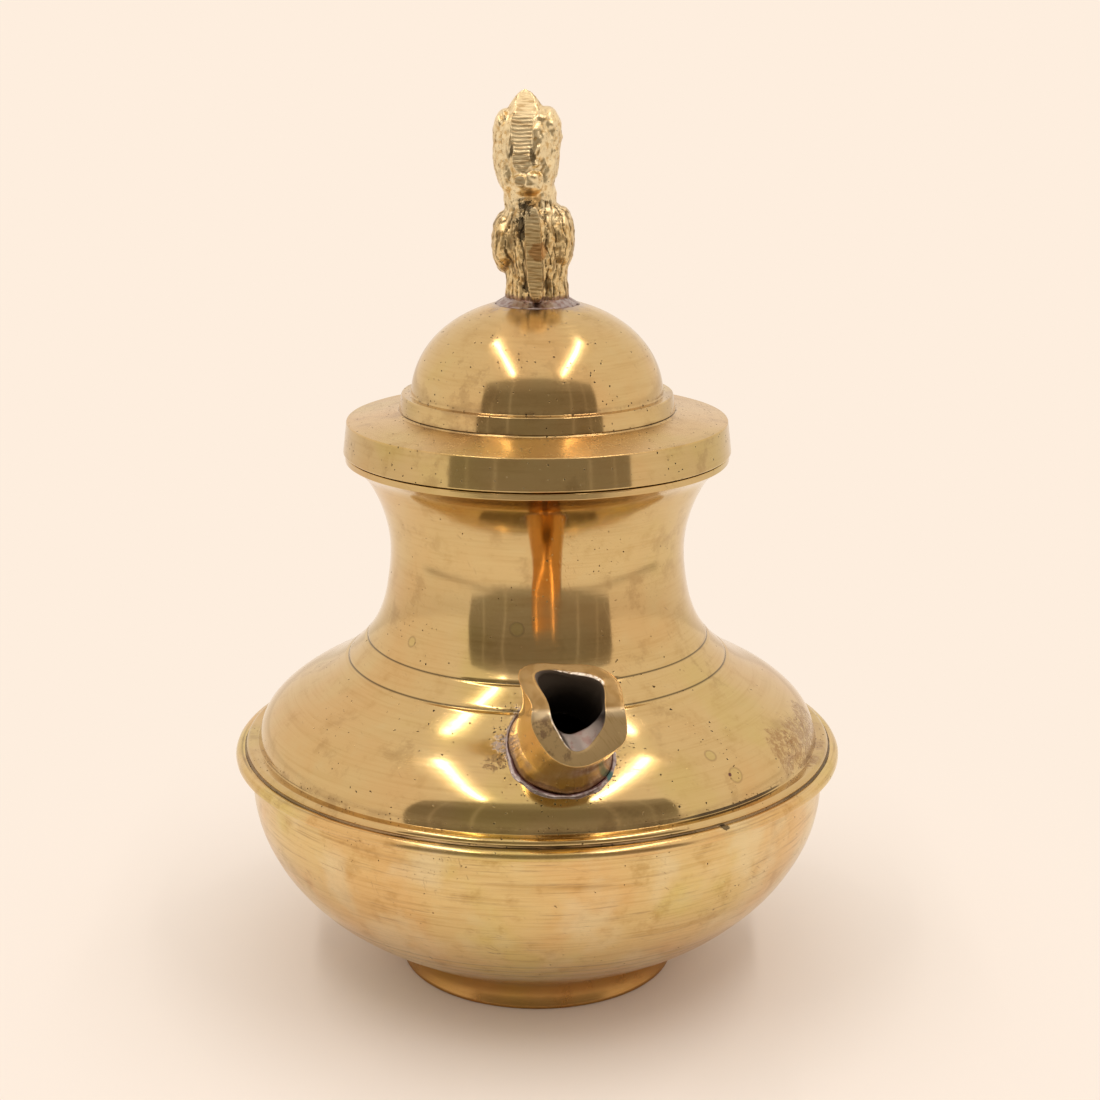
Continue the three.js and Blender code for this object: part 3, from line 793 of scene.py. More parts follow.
def body_outline(sizes):
    """Flange, shoulder, neck, mouth lip and the inside."""
    line = neck_line(sizes)
    inside = beside(line, sizes.wall)
    low, top = foot_of("upper_body"), top_of("upper_body")
    reach = reach_of("upper_body")
    flange = rounded(
        (inside[0, 0], low, 0),
        (reach, low, 0.2 * MM),
        (reach, low + sizes.flange_thickness, sizes.flange_thickness * 0.75),
        (line[0, 0] + 0.15 * MM, line[0, 1], 0.12 * MM),
        tuple(line[2]) + (0,),
    )
    lip = rounded(
        tuple(line[-2]) + (0,),
        tuple(line[-1]) + (0.25 * MM,),
        (sizes.lip_radius, top, 0.3 * MM),
        (inside[-1, 0], top, 0.3 * MM),
        tuple(inside[-3]) + (0,),
    )
    return np.vstack([flange[:-1], line[2:-2], lip, inside[:-4][::-3]])


# Marks on the shoulder: angle from the spout in degrees, height, width, height spread, depth
SHOULDER_DENTS = (
    (57, 63.2, 4.5, 1.8, 0.8),
    (61, 66.5, 4.0, 2.6, -0.25),
    (-30, 71.0, 9.0, 5.0, 0.15),
    (38, 84.0, 12.0, 6.0, 0.1),
)


def body_change(angle, height, radius, sizes):
    """Incised lines, dents and a slight unevenness."""
    foot = foot_of("upper_body") + sizes.flange_thickness
    moved = waves(angle, height, 0.02 * MM, 18 * MM, 11)
    moved = moved + waves(angle, height, 0.002 * MM, 5 * MM, 12)
    moved = moved * smooth_step(height, foot, foot + 3 * MM)
    spout_side = 1 + 0.35 * bell((off_angle(angle, 0), 0.7))
    for rise in (sizes.upper_line, sizes.lower_line):
        off = np.abs(height - foot - rise) / (sizes.line_width / 2 * spout_side)
        moved = moved - sizes.line_depth * np.clip(1 - off, 0, None)
    for side, level, wide, tall, depth in SHOULDER_DENTS:
        off = off_angle(angle, side) * radius
        dent = bell((off, wide * MM), (height - level * MM, tall * MM))
        moved = moved - depth * MM * dent
    return moved


# Spout: a frame of its own, with x to the right, y up across the tube and s along it

SpoutFrame = namedtuple("SpoutFrame", "origin along up shoulder")


def spout_frame(context):
    """Root of the tube's axis on the shoulder, its direction, the way up across it, and
    the shoulder's line."""
    body, spout = context.scene.ghee_body, context.scene.ghee_spout
    line = neck_line(body)
    root = foot_of("upper_body") + body.flange_thickness + spout.root_rise
    origin = np.array([0.0, AXIS_Y - radius_at(line, root), root])
    along = np.array([0.0, -math.cos(spout.lift), math.sin(spout.lift)])
    up = np.array([0.0, math.sin(spout.lift), math.cos(spout.lift)])
    return SpoutFrame(origin, along, up, line)


def from_spout(spot, x, y, s):
    grid = spot.origin + s[..., None] * spot.along + y[..., None] * spot.up
    grid[..., 0] += x
    return grid


def meets_shoulder(spot, x, y):
    """Distance along the tube where lines beside its axis leave the shoulder.

    The lines are sampled, and the last change from inside to outside is read between
    its two samples.
    """
    s = np.linspace(-22 * MM, 18 * MM, 400)
    grid = from_spout(spot, x[..., None], y[..., None] + 0 * s, s + 0 * y[..., None])
    out = np.hypot(grid[..., 0], grid[..., 1] - AXIS_Y) - radius_at(spot.shoulder, grid[..., 2])
    crossing = (out[..., :-1] < 0) & (out[..., 1:] >= 0)
    last = crossing.shape[-1] - 1 - np.argmax(crossing[..., ::-1], axis=-1)
    before = np.take_along_axis(out, last[..., None], -1)[..., 0]
    after = np.take_along_axis(out, last[..., None] + 1, -1)[..., 0]
    return s[last] + (s[1] - s[0]) * before / (before - after)


# The hand-shaped mouth seen along the axis, in shares of the tube's radius, from the right
# side and round over the top.
MOUTH_EDGE = np.array([
    [0.98, 0.08], [0.88, 0.66], [0.45, 0.95], [-0.2, 1.02], [-0.66, 1.04], [-0.99, 0.9],
    [-0.97, 0.52], [-0.82, 0.14], [-0.84, -0.12], [-0.73, -0.5], [-0.4, -0.92], [0.14, -1.05],
    [0.62, -0.83], [0.94, -0.6],
])
MOUTH_OPENING = np.array([
    [0.6, 0.12], [0.57, 0.58], [0.29, 0.73], [-0.16, 0.84], [-0.48, 0.9], [-0.69, 0.82],
    [-0.66, 0.6], [-0.5, 0.22], [-0.44, -0.1], [-0.32, -0.38], [-0.02, -0.75], [0.16, -0.72],
    [0.38, -0.5], [0.56, -0.24],
])
# The same opening a little way in, where its lower side has been cut to a steep chute
MOUTH_THROAT = np.array([
    [0.59, 0.13], [0.56, 0.57], [0.28, 0.72], [-0.16, 0.83], [-0.47, 0.88], [-0.66, 0.79],
    [-0.63, 0.57], [-0.47, 0.2], [-0.42, -0.05], [-0.37, -0.2], [-0.12, -0.37], [0.12, -0.31],
    [0.36, -0.18], [0.53, 0.0],
])
SPOUT_SIDES = 224
# Rows of the outer wall, of the cut lip and of the bore
OUTER_ROWS, LIP_ROWS, BORE_ROWS = 110, 22, 100


def foot_spread(sizes, across, up):
    """How far the tube's foot is hammered out, for directions across the tube: all of the
    spread on its lower side and half of it on its left."""
    lower, left = smooth_step(-up, -0.1, 0.75), smooth_step(-across, 0.3, 0.9)
    return sizes.foot_spread * np.maximum(lower, 0.5 * left)


def spout_wall(spot, sizes, radius, shares, nominal):
    """Rings of one wall: a round tube that turns into the mouth's outline near its end.

    nominal runs from 0 at the shoulder to 1 at the lip. Each place keeps its direction
    from the axis, and the upper lip is cut back in proportion to its height.
    """
    mouth = spline(shares, SPOUT_SIDES, closed=True) * sizes.radius
    way = mouth / np.linalg.norm(mouth, axis=1)[:, None]
    spread = foot_spread(sizes, *way.T) * (shares is MOUTH_EDGE)
    root = meets_shoulder(spot, *(way * (radius + spread)[:, None]).T)
    s = root[None] + (sizes.reach - root[None]) * nominal[:, None]
    radius = radius + (spread * np.exp((root - s) / (5 * MM)))[..., None]
    grown = np.clip((s - sizes.reach + sizes.shaped_end) / sizes.shaped_end, 0, 1)[..., None]
    place = way * radius + (mouth - way * radius) * grown ** sizes.shaping
    if shares is MOUTH_OPENING:
        throat = spline(MOUTH_THROAT, SPOUT_SIDES, closed=True) * sizes.radius
        deep = (sizes.reach - s)[..., None]
        past = smooth_step(deep, sizes.chute, 4 * sizes.chute)
        chute = np.clip(deep / sizes.chute, 0, 1) * (1 - past)
        place = place + (throat - place) * chute
    y = place[..., 1]
    fold = np.sqrt(y**2 + sizes.fold**2) - sizes.fold
    s = s - grown[..., 0] * fold * np.where(y > 0, sizes.lip_slope, sizes.lower_slope)
    return place, s


def cut_lip(angle, t):
    """How far the sawn lip lies out along the tube, and how torn it is, from its outer
    edge at t = 0 to its opening at t = 1. Both edges are rounded, and burrs stand along
    parts of the opening."""
    edge = np.exp(-(t / 0.06)) + np.exp(-((1 - t) / 0.05))
    uneven = waves(angle, t * 0.003, 0.03 * MM, 6 * MM, 8, 8 * MM)
    torn = bell((1 - t, 0.22)) * between(angle, 0.5, 0.9, 1.6, 2.2)
    torn = torn + 0.7 * bell((1 - t, 0.08)) * between(-angle, 1.4, 1.9, 2.6, 3.1)
    ragged = 0.5 + 0.5 * waves(angle, t * 0.001, 1.0, 1.6 * MM, 9, 7 * MM)
    return uneven - 0.18 * MM * edge + 0.7 * MM * torn * np.clip(ragged, 0, 1.4), torn


def spout_mesh(context):
    """Outer wall, cut lip and bore in one closed skin, its root lying on the shoulder.

    For the finish each place keeps its distance from the shoulder, its part (0 outside,
    1 on the lip, 2 in the bore), its height across the tube, its burr and its way in.
    """
    sizes = context.scene.ghee_spout
    spot = spout_frame(context)
    nominal = np.linspace(0, 1, OUTER_ROWS)
    outer, outer_s = spout_wall(spot, sizes, sizes.radius, MOUTH_EDGE, nominal)
    nominal = 1 - np.linspace(0, 1, BORE_ROWS) ** 1.8
    inner, inner_s = spout_wall(spot, sizes, sizes.radius - sizes.wall, MOUTH_OPENING, nominal)
    t = np.linspace(0, 1, LIP_ROWS + 2)[1:-1, None]
    lip = outer[-1] + (inner[0] - outer[-1]) * t[..., None]
    stands, torn = cut_lip(np.arctan2(outer[-1, :, 1], outer[-1, :, 0]), t)
    lip_s = outer_s[-1] + (inner_s[0] - outer_s[-1]) * t + stands
    place = np.vstack([outer, lip, inner])
    s = np.vstack([outer_s, lip_s, inner_s])
    dents = waves(np.arctan2(place[..., 1], place[..., 0]), s, 0.05 * MM, 12 * MM, 21, 10 * MM)
    dents = dents * smooth_step(s, 2 * MM, 8 * MM)
    place = place * (1 + dents / sizes.radius)[..., None]
    root = np.vstack([outer_s[:1]] * (OUTER_ROWS + LIP_ROWS) + [inner_s[-1:]] * BORE_ROWS)
    part = np.repeat([0.0, 1.0, 2.0], [OUTER_ROWS, LIP_ROWS, BORE_ROWS])
    none, all_in = np.zeros_like(outer_s), np.zeros_like(inner_s)
    burr = np.vstack([none, torn * (t > 0.5), all_in])
    way_in = np.vstack([none, np.zeros_like(lip_s), inner_s[0] - inner_s])
    grid = from_spout(spot, place[..., 0], place[..., 1], s)
    return skin(
        "spout_tube", grid, joined=True, from_seam=s - root, part=part[:, None],
        across=place[..., 1], burr=burr, way_in=way_in,
    )


def bead_mesh(context):
    """Solder round the tube's foot: for each place of the seam, a hollow fillet between
    the tube and the shoulder, with lumps and a spill on the left."""
    sizes, solder = context.scene.ghee_spout, context.scene.ghee_solder
    spot = spout_frame(context)
    angle = all_round(SPOUT_SIDES)
    spill = bell((off_angle(angle, 230), 0.6))
    lumps = waves(angle, 0 * angle, 0.16 * MM, 4 * MM, 31, 12 * MM)
    lower = smooth_step(-np.sin(angle), -0.1, 0.6)
    leg = solder.spout_leg * (0.35 + 0.4 * lower + 0.3 * spill) + lumps * (0.3 + lower)
    height = solder.spout_height * (0.8 + 0.2 * spill) + lumps * 0.5
    right, up = np.cos(angle), np.sin(angle)
    foot = sizes.radius + foot_spread(sizes, right, up)
    inner, outer = ((r * right, r * up) for r in (foot - 0.05 * MM, foot + leg))
    s_in, s_out = meets_shoulder(spot, *inner), meets_shoulder(spot, *outer)
    low = [np.stack([*inner, s_in - 0.15 * MM], -1), np.stack([*outer, s_out - 0.1 * MM], -1)]
    top = np.stack([*inner, s_in + height], -1)
    toe = np.stack([*outer, s_out + 0.02 * MM], -1)
    t = np.linspace(0, 1, 12)[:, None, None]
    face = hollow_face(low[0], toe, top, solder.fullness, t)
    fine_lumps = waves(angle[None], t[..., 0] * 0.003, 0.03 * MM, 2 * MM, 33, 12 * MM)
    face[..., 2] += fine_lumps * np.sin(t[..., 0] * math.pi)
    rows = np.concatenate([low[0][None], low[1][None], face])
    grid = from_spout(spot, rows[..., 0], rows[..., 1], rows[..., 2])
    rise = np.concatenate([[0.0, 0.0], t[:, 0, 0]])[:, None]
    return skin("spout_bead", grid, joined=True, up=rise)


# Lid

def dome_line(sizes, count=120):
    """Outside of the dome: a quarter of a superellipse standing on the band."""
    top = top_of("lid_dome")
    spring = foot_of("lid_dome") + sizes.band_height - sizes.wall
    radius = reach_of("lid_dome") - sizes.band_taper - sizes.dome_step
    line = superellipse(radius, top - spring, sizes.dome_roundness, math.pi / 2, 0, count)
    return line + [0, spring]


def dome_outline(sizes):
    """Band with rounded edges, the step, the dome and the inside."""
    low = foot_of("lid_dome")
    spring = low + sizes.band_height
    line = dome_line(sizes)
    line = line[line[:, 1] > spring + 0.3 * MM]
    reach, band = reach_of("lid_dome"), reach_of("lid_dome") - sizes.band_taper
    inside = band - sizes.wall
    foot = rounded(
        (inside, low, 0), (reach, low, 0.2 * MM), (band, spring, sizes.edge),
        (line[0, 0] + 0.08 * MM, spring, 0.25 * MM), tuple(line[0]) + (0,),
    )
    back = beside(line, sizes.wall)
    back = back[back[:, 0] > sizes.wall][::-1]
    return np.vstack([foot[:-1], line, [[0, line[-1, 1] - sizes.wall]], back, foot[:1]])


def brim_outline(sizes):
    """Upright skirt with turned edges, the sloping brim, its hole and the underside."""
    low, top, reach = foot_of("lid_brim"), top_of("lid_brim"), reach_of("lid_brim")
    edge, skirt_top = reach - sizes.skirt_taper, low + sizes.skirt_height
    dome = reach_of("lid_dome")
    hole = dome - sizes.band_taper - sizes.wall - sizes.ledge
    w = sizes.wall
    seat = foot_of("lid_dome") - 0.03 * MM
    return rounded(
        (reach - w, low + 2 * MM, 0), (reach - w, low, 0.2 * MM), (reach, low, sizes.edge),
        (edge, skirt_top, sizes.edge), (dome, top, 0), (dome, seat, 0), (hole, seat, 0.2 * MM),
        (hole, top - w, 0.2 * MM), (dome, top - w, 0), (edge - 2 * w, skirt_top - w, 0.6 * MM),
        (edge - w, skirt_top - 2 * w, 0.6 * MM), (reach - w, low + 2 * MM, 0),
    )


def collar_outline(sizes):
    """Plain sleeve with a chamfered lower edge."""
    low, top, reach = foot_of("lid_collar"), top_of("lid_collar"), reach_of("lid_collar")
    inner = reach - sizes.wall
    return rounded(
        (inner, low + 2 * MM, 0), (inner, low, 0.2 * MM), (reach, low, 0.6 * MM),
        (reach, top, 0.1 * MM), (inner, top, 0.1 * MM), (inner, low + 2 * MM, 0),
    )


# Bird: masses as shares of its height, with x to its right, y up from the dome and z to
# its front: centre, half sizes, tilt to the front and lean to the right in degrees,
# squareness and pointedness.
BIRD_MASSES = {
    "body": ((-0.02, 0.27, 0.0), (0.165, 0.2, 0.17), 8, 0, 1, 0),
    "shoulders": ((-0.018, 0.36, 0.01), (0.16, 0.14, 0.135), 0, 0, 0.9, 0),
    "skirt": ((-0.005, 0.14, 0.0), (0.148, 0.16, 0.145), 0, 0, 0.8, 0),
    "breast": ((-0.005, 0.25, 0.09), (0.115, 0.2, 0.09), 0, 0, 0.9, 0),
    "breast ridge": ((-0.005, 0.235, 0.165), (0.040, 0.235, 0.05), 0, -3, 0.55, 0),
    "left wing": ((-0.152, 0.275, -0.01), (0.070, 0.15, 0.15), -14, 0, 0.9, 0),
    "right wing": ((0.112, 0.295, -0.01), (0.07, 0.155, 0.15), -14, 0, 0.9, 0),
    "tail": ((-0.015, 0.2, -0.2), (0.09, 0.06, 0.17), 38, 0, 1, 0),
    "tail tip": ((-0.015, 0.3, -0.3), (0.075, 0.12, 0.045), 20, 0, 1, 0),
    "neck": ((-0.034, 0.49, 0.01), (0.128, 0.14, 0.12), 0, 0, 0.9, 0),
    "head": ((-0.053, 0.70, 0.0), (0.162, 0.23, 0.145), 8, 0, 0.92, 0),
    "chin": ((-0.040, 0.575, 0.085), (0.085, 0.070, 0.085), 0, 0, 0.85, 0),
    "beak": ((-0.072, 0.582, 0.15), (0.031, 0.029, 0.045), 0, 0, 0.8, 0),
    "beak side": ((-0.014, 0.598, 0.135), (0.036, 0.028, 0.04), 0, 0, 0.9, 0),
    "brow": ((-0.066, 0.765, 0.075), (0.062, 0.16, 0.08), 12, 0, 0.8, 0),
    "snout": ((-0.062, 0.67, 0.11), (0.06, 0.09, 0.06), 10, 0, 0.8, 0),
    "right eye rim": ((0.012, 0.712, 0.118), (0.017, 0.052, 0.035), 0, 10, 1, 0),
    "right lower rim": ((-0.012, 0.66, 0.135), (0.03, 0.016, 0.025), 0, 0, 1, 0),
    "left eye rim": ((-0.137, 0.715, 0.085), (0.016, 0.05, 0.035), 0, -12, 1, 0),
    "left cheek": ((-0.135, 0.6, 0.055), (0.05, 0.1, 0.07), 0, -12, 0.9, 0),
    "right cheek": ((0.045, 0.6, 0.05), (0.045, 0.11, 0.08), 0, 10, 0.9, 0),
    "left crest": ((-0.150, 0.80, -0.01), (0.066, 0.115, 0.1), 0, 4, 0.9, 0),
    "right crest": ((0.045, 0.80, -0.01), (0.073, 0.125, 0.1), 0, -4, 0.9, 0),
    "top crest": ((-0.057, 0.885, 0.0), (0.095, 0.115, 0.095), 0, 0, 1, 0.35),
    "crest peak": ((-0.058, 0.93, 0.005), (0.055, 0.076, 0.06), 0, 0, 1, 0.55),
    "left crest knob": ((-0.178, 0.845, 0.05), (0.014, 0.045, 0.035), 0, -14, 1, 0),
    "left crest second knob": ((-0.150, 0.87, 0.06), (0.013, 0.042, 0.035), 0, -14, 1, 0),
}
# The bird's foot, in shares of its radius and of the bird's height
BIRD_FOOT_SHARES = np.array([[1, 0.0], [0.99, 0.03], [0.94, 0.12], [0.96, 0.19], [0.6, 0.26]])
BIRD_FOOT_SINK = -0.02
BIRD_FOOT_SIDES = 72
# Knobs on the crest: x, y and radius
CREST_KNOBS = (
    (0.012, 0.872, 0.024), (0.040, 0.868, 0.022), (0.066, 0.842, 0.025), (0.084, 0.806, 0.023),
    (0.058, 0.790, 0.020), (0.082, 0.763, 0.022), (0.088, 0.722, 0.020), (0.030, 0.83, 0.018),
)
# Facets filed on the front: centre, direction and half sizes
BIRD_FACETS = (
    ((-0.066, 0.80, 0.122), (0, 0.36, 1), (0.052, 0.125)),
    ((-0.05, 0.94, 0.050), (0.1, 0.7, 1), (0.05, 0.06)),
    ((-0.072, 0.68, 0.156), (-0.1, 0.05, 1), (0.048, 0.055)),
    ((-0.072, 0.585, 0.180), (0, 0.05, 1), (0.035, 0.035)),
    ((-0.002, 0.25, 0.198), (0, 0.02, 1), (0.048, 0.28)),
)
# Middle of the bird's body, which its strokes run round
BIRD_MIDDLE = -0.02


def ball(centre, half, tilt=0.0, lean=0.0, square=1.0, point=0.0, rows=28, columns=40):
    """Ellipsoid grid, tilted, leaned and moved.

    Powers below 1 of the unit sphere's places make it squarer, and its upper half may
    draw in to a point.
    """
    down, side = np.linspace(0, math.pi, rows)[:, None], all_round(columns)
    flat = np.sin(down)
    grid = np.stack([flat * np.cos(side), np.cos(down) + 0 * side, flat * np.sin(side)], -1)
    grid = np.sign(grid) * np.abs(grid) ** square
    grid[..., [0, 2]] *= 1 - point * np.clip(grid[..., 1:2], 0, None)
    leaned = Matrix.Rotation(math.radians(-lean), 3, "Z")
    turned = leaned @ Matrix.Rotation(math.radians(tilt), 3, "X")
    return (grid * half) @ np.array(turned).T + centre


def bird_grids(sizes, tall):
    """All the closed grids that the bird is cast from, in metres."""
    grids = [
        ball(np.array(at) * tall, np.array(half) * tall, *form)
        for at, half, *form in BIRD_MASSES.values()
    ]
    grids += [
        ball(np.array([x, y, 0.085 - 0.3 * abs(x - 0.02)]) * tall, np.full(3, r * tall))
        for x, y, r in CREST_KNOBS
    ]
    foot = spline(BIRD_FOOT_SHARES * [sizes.foot_radius, tall], 30)
    sunk = BIRD_FOOT_SINK * tall
    foot = np.vstack([[[0, sunk], [sizes.foot_radius, sunk]], foot, [[0, foot[-1, 1]]]])
    side = all_round(BIRD_FOOT_SIDES)
    radius, height = foot[:, :1], np.repeat(foot[:, 1:], BIRD_FOOT_SIDES, 1)
    grids.append(np.stack([radius * np.sin(side), height, radius * np.cos(side)], -1))
    return grids


def joined_mesh(name, grids):
    """One mesh that holds the closed skins of several grids."""
    total = bpy.data.meshes.new(name)
    points, faces, start = [], [], 0
    for grid in grids:
        part = skin("part", grid)
        points.append(places_of(part))
        faces += [[i + start for i in face.vertices] for face in part.polygons]
        start += len(part.vertices)
        bpy.data.meshes.remove(part)
    total.from_pydata(np.vstack(points).tolist(), [], faces)
    return total


def filed_flat(points, filed, centre, normal, half):
    """Files a facet: what stands beyond a plane within reach of its centre goes back to it."""
    normal = np.array(normal, float) / np.linalg.norm(normal)
    off = points - centre
    beyond = off @ normal
    cut = (beyond > 0) & (np.abs(off[:, 0]) < half[0]) & (np.abs(off[:, 1]) < half[1])
    points[cut] -= beyond[cut, None] * normal
    filed[cut] = 1.0


def feather_strokes(angle, h):
    """Chiselled feathers, 1 where deepest, at angles round the bird and shares of its height.

    The grooves' phase is the angle plus a slow wander. They break off in places, and
    shorter strokes lie between them.
    """
    wander = 0.6 * np.sin(h * 21 + 1.3) + 0.4 * np.sin(h * 47 + angle * 3)
    column = np.floor((angle * 13 + wander) / math.pi)
    groove = 1 - smooth_step(np.abs(np.sin(angle * 13 + wander)), 0.05, 0.6)
    broken = np.sin(h * 41 + column * 2.4) + 0.4 * np.sin(h * 97 + column)
    second = 1 - smooth_step(np.abs(np.sin(angle * 24 - wander * 1.4 + h * 9)), 0.0, 0.3)
    second = second * smooth_step(np.sin(h * 55 + column * 3.7), 0.1, 0.6)
    on_body = between(h, 0.0, 0.03, 0.45, 0.51)
    on_hood = between(h, 0.52, 0.57, 0.80, 0.86) * 0.45 * smooth_step(np.abs(angle), 0.5, 0.9)
    strokes = np.clip(groove * smooth_step(broken, -0.5, 0.2) + 0.7 * second, 0, 1)
    return strokes * (on_body + on_hood)


def face_hollows(x, h):
    """Eyes, the seams beside the breast's ridge and the fold under the chin."""
    eyes = bell((x + 0.014 + (h - 0.694) * 0.15, 0.012), (h - 0.694, 0.042))
    eyes = eyes + 0.8 * bell((x + 0.118 - (h - 0.72) * 0.2, 0.009), (h - 0.72, 0.034))
    seams = bell((x - 0.052 + (h - 0.17) * 0.03, 0.008)) + bell((x + 0.056 + h * 0.03, 0.01))
    seams = seams * (1 - smooth_step(h, 0.40, 0.46))
    off = np.abs(x + 0.03)
    under_chin = bell((h - 0.505 + 0.3 * off, 0.014)) * (off < 0.10)
    return eyes * 1.3 + seams * 0.45 + under_chin * 0.5


def carve_bird(points, sizes, tall):
    """Cuts facets, feathers and file marks into the cast shape, which is changed in place.

    File marks are sines of the height. Returns how filed and how hollow each place is.
    """
    filed = np.zeros(len(points))
    x, h = points[:, 0] / tall, points[:, 1] / tall
    for centre, normal, half in BIRD_FACETS:
        filed_flat(points, filed, np.array(centre) * tall, normal, np.array(half) * tall)
    angle = np.arctan2(x - BIRD_MIDDLE, points[:, 2] / tall)
    front = smooth_step(points[:, 2], 0.0, 0.05 * tall)
    hollow = feather_strokes(angle, h) * (1 - filed) + face_hollows(x, h) * front
    hollow = np.clip(hollow, 0, 1)
    outward = points * [1, 0, 1] - [BIRD_MIDDLE * tall, 0, 0]
    outward /= np.maximum(np.linalg.norm(outward, axis=1), TINY)[:, None]
    phase = points[:, 1] * 2 * math.pi / sizes.file_pitch
    marks = np.sin(phase + x * 9 + 0.8 * np.sin(x * 60)) + 0.6 * np.sin(phase * 1.63 + x * 21)
    grain = waves(angle, points[:, 1], 0.07 * MM, 2.6 * MM, 41, 8 * MM)
    grain = grain + waves(angle, points[:, 1], 0.03 * MM, 1.1 * MM, 42, 8 * MM)
    on_snout = filed * between(h, 0.62, 0.64, 0.74, 0.76)
    depth = sizes.groove_depth * hollow + grain * (1 - 0.8 * filed)
    depth = depth + sizes.file_depth * marks * filed * (1 + on_snout)
    points -= outward * depth[:, None]
    return filed, hollow


def bird_mesh(context):
    """Casts the masses into one skin on a fine grid, smooths it and carves it."""
    sizes = context.scene.ghee_bird
    seat = top_of("lid_dome")
    tall = top_of("finial") - seat
    cast = joined_mesh("bird_cast", bird_grids(sizes, tall))
    mesh = reshaped(
        cast, "bird",
        ("REMESH", {"mode": "VOXEL", "voxel_size": sizes.grain}),
        ("SMOOTH", {"factor": 0.6, "iterations": 5}),
    )
    points = places_of(mesh)
    filed, hollow = carve_bird(points, sizes, tall)
    dome = dome_line(context.scene.ghee_lid)
    out = np.hypot(points[:, 0], points[:, 2])
    floor = np.interp(out, dome[::-1, 0], dome[::-1, 1]) - seat
    points[:, 1] = np.maximum(points[:, 1], floor)
    c, s = math.cos(sizes.facing), math.sin(sizes.facing)
    right, front = points[:, 0] * c + points[:, 2] * s, points[:, 2] * c - points[:, 0] * s
    placed = np.stack([right, AXIS_Y - front, seat + points[:, 1]], 1)
    mesh.vertices.foreach_set("co", placed.astype(np.float32).ravel())
    give(mesh, "filed", filed)
    give(mesh, "hollow", hollow)
    mesh.update()
    mesh.shade_smooth()
    return mesh


# Finishes

def lid_finish(tints):
    metal = Metal("lid_brass", tints.polished, roughness=0.12, brushed=0.75)
    metal.patches(0.8)
    metal.lathe_marks(0.004 * MM)
    metal.scratches(0.35, tints.tarnish)
    band = foot_of("lid_dome")
    plate = metal.within(metal.z, band - 2.9 * MM, band - 2.5 * MM, band, band + 0.1 * MM)
    metal.shaded(plate * 0.6, (1.0, 0.92, 0.86))
    metal.rough = metal.rough + plate * 0.14
    seam = metal.near(band, 1.2 * MM) + metal.near(band + 4.2 * MM, 1.3 * MM)
    metal.tinted(seam * metal.ramp(metal.mottle, 0.4, 0.6) * 0.5, tints.tarnish)
    metal.pits(0.9 * MM, 0.12 + seam * 0.45, tints.oxide)
    metal.scattered_pits()
    metal.haze(16 * MM, 0.48, 0.3, tints.tarnish)
    dark = metal.ramp(metal.turned(0.8 * MM, 3.0), 0.40, 0.56)
    metal.marked(metal.near(band - 0.02 * MM, 0.22 * MM) * dark * 0.85, tints.oxide, 0.5)
    dull = metal.ramp(metal.radius, 26 * MM, 12 * MM) * metal.ramp(metal.z, 150 * MM, 165 * MM)
    metal.rough = metal.rough + dull * 0.12
    top = metal.ramp(metal.radius, 16 * MM, 8 * MM) * metal.ramp(metal.z, 160 * MM, 165 * MM)
    ragged = metal.ramp(metal.noise(metal.at, 3 * MM, 5.0, 0.7) + top * 0.25, 0.55, 0.72)
    metal.marked(top * ragged * 0.8, tints.solder, 0.26)
    return metal.done()


# Marks on the shoulder and neck: angle from the spout in degrees, height and size
ROUGH_PATCHES = ((55, 67.2, 5.5), (64, 66.0, 7.0), (74, 66.0, 6.5))
RING_MARKS = ((36.8, 66.8, 1.8), (33.5, 71.1, 1.4), (-54.8, 90.9, 1.2), (-12.8, 97.5, 1.6))


def shoulder_marks(metal, tints, on_shell):
    """A rough reddish patch on the right, and rings with greenish middles."""
    crackle = metal.spots(1.4 * MM, 0.38, 0.58, 5.0, 0.7)
    for degrees, height, size in ROUGH_PATCHES:
        rough_patch = metal.blot(on_shell(degrees, height), size * MM, 0.7)
        metal.marked(rough_patch * crackle * 0.7, (0.34, 0.19, 0.075), 0.30, -0.04 * MM)
    for degrees, height, size in RING_MARKS:
        place = on_shell(degrees, height)
        ring = metal.ring(place, size * MM, 0.45 * MM)
        metal.marked(ring * 0.5, tints.tarnish, 0.3, -0.02 * MM)
        metal.shaded(metal.blot(place, size * MM, 0.2) * 0.6, (0.92, 1.0, 0.86))
    metal.marked(metal.blot(on_shell(35.4, 67.2), 0.45 * MM), tints.stain, 0.6)


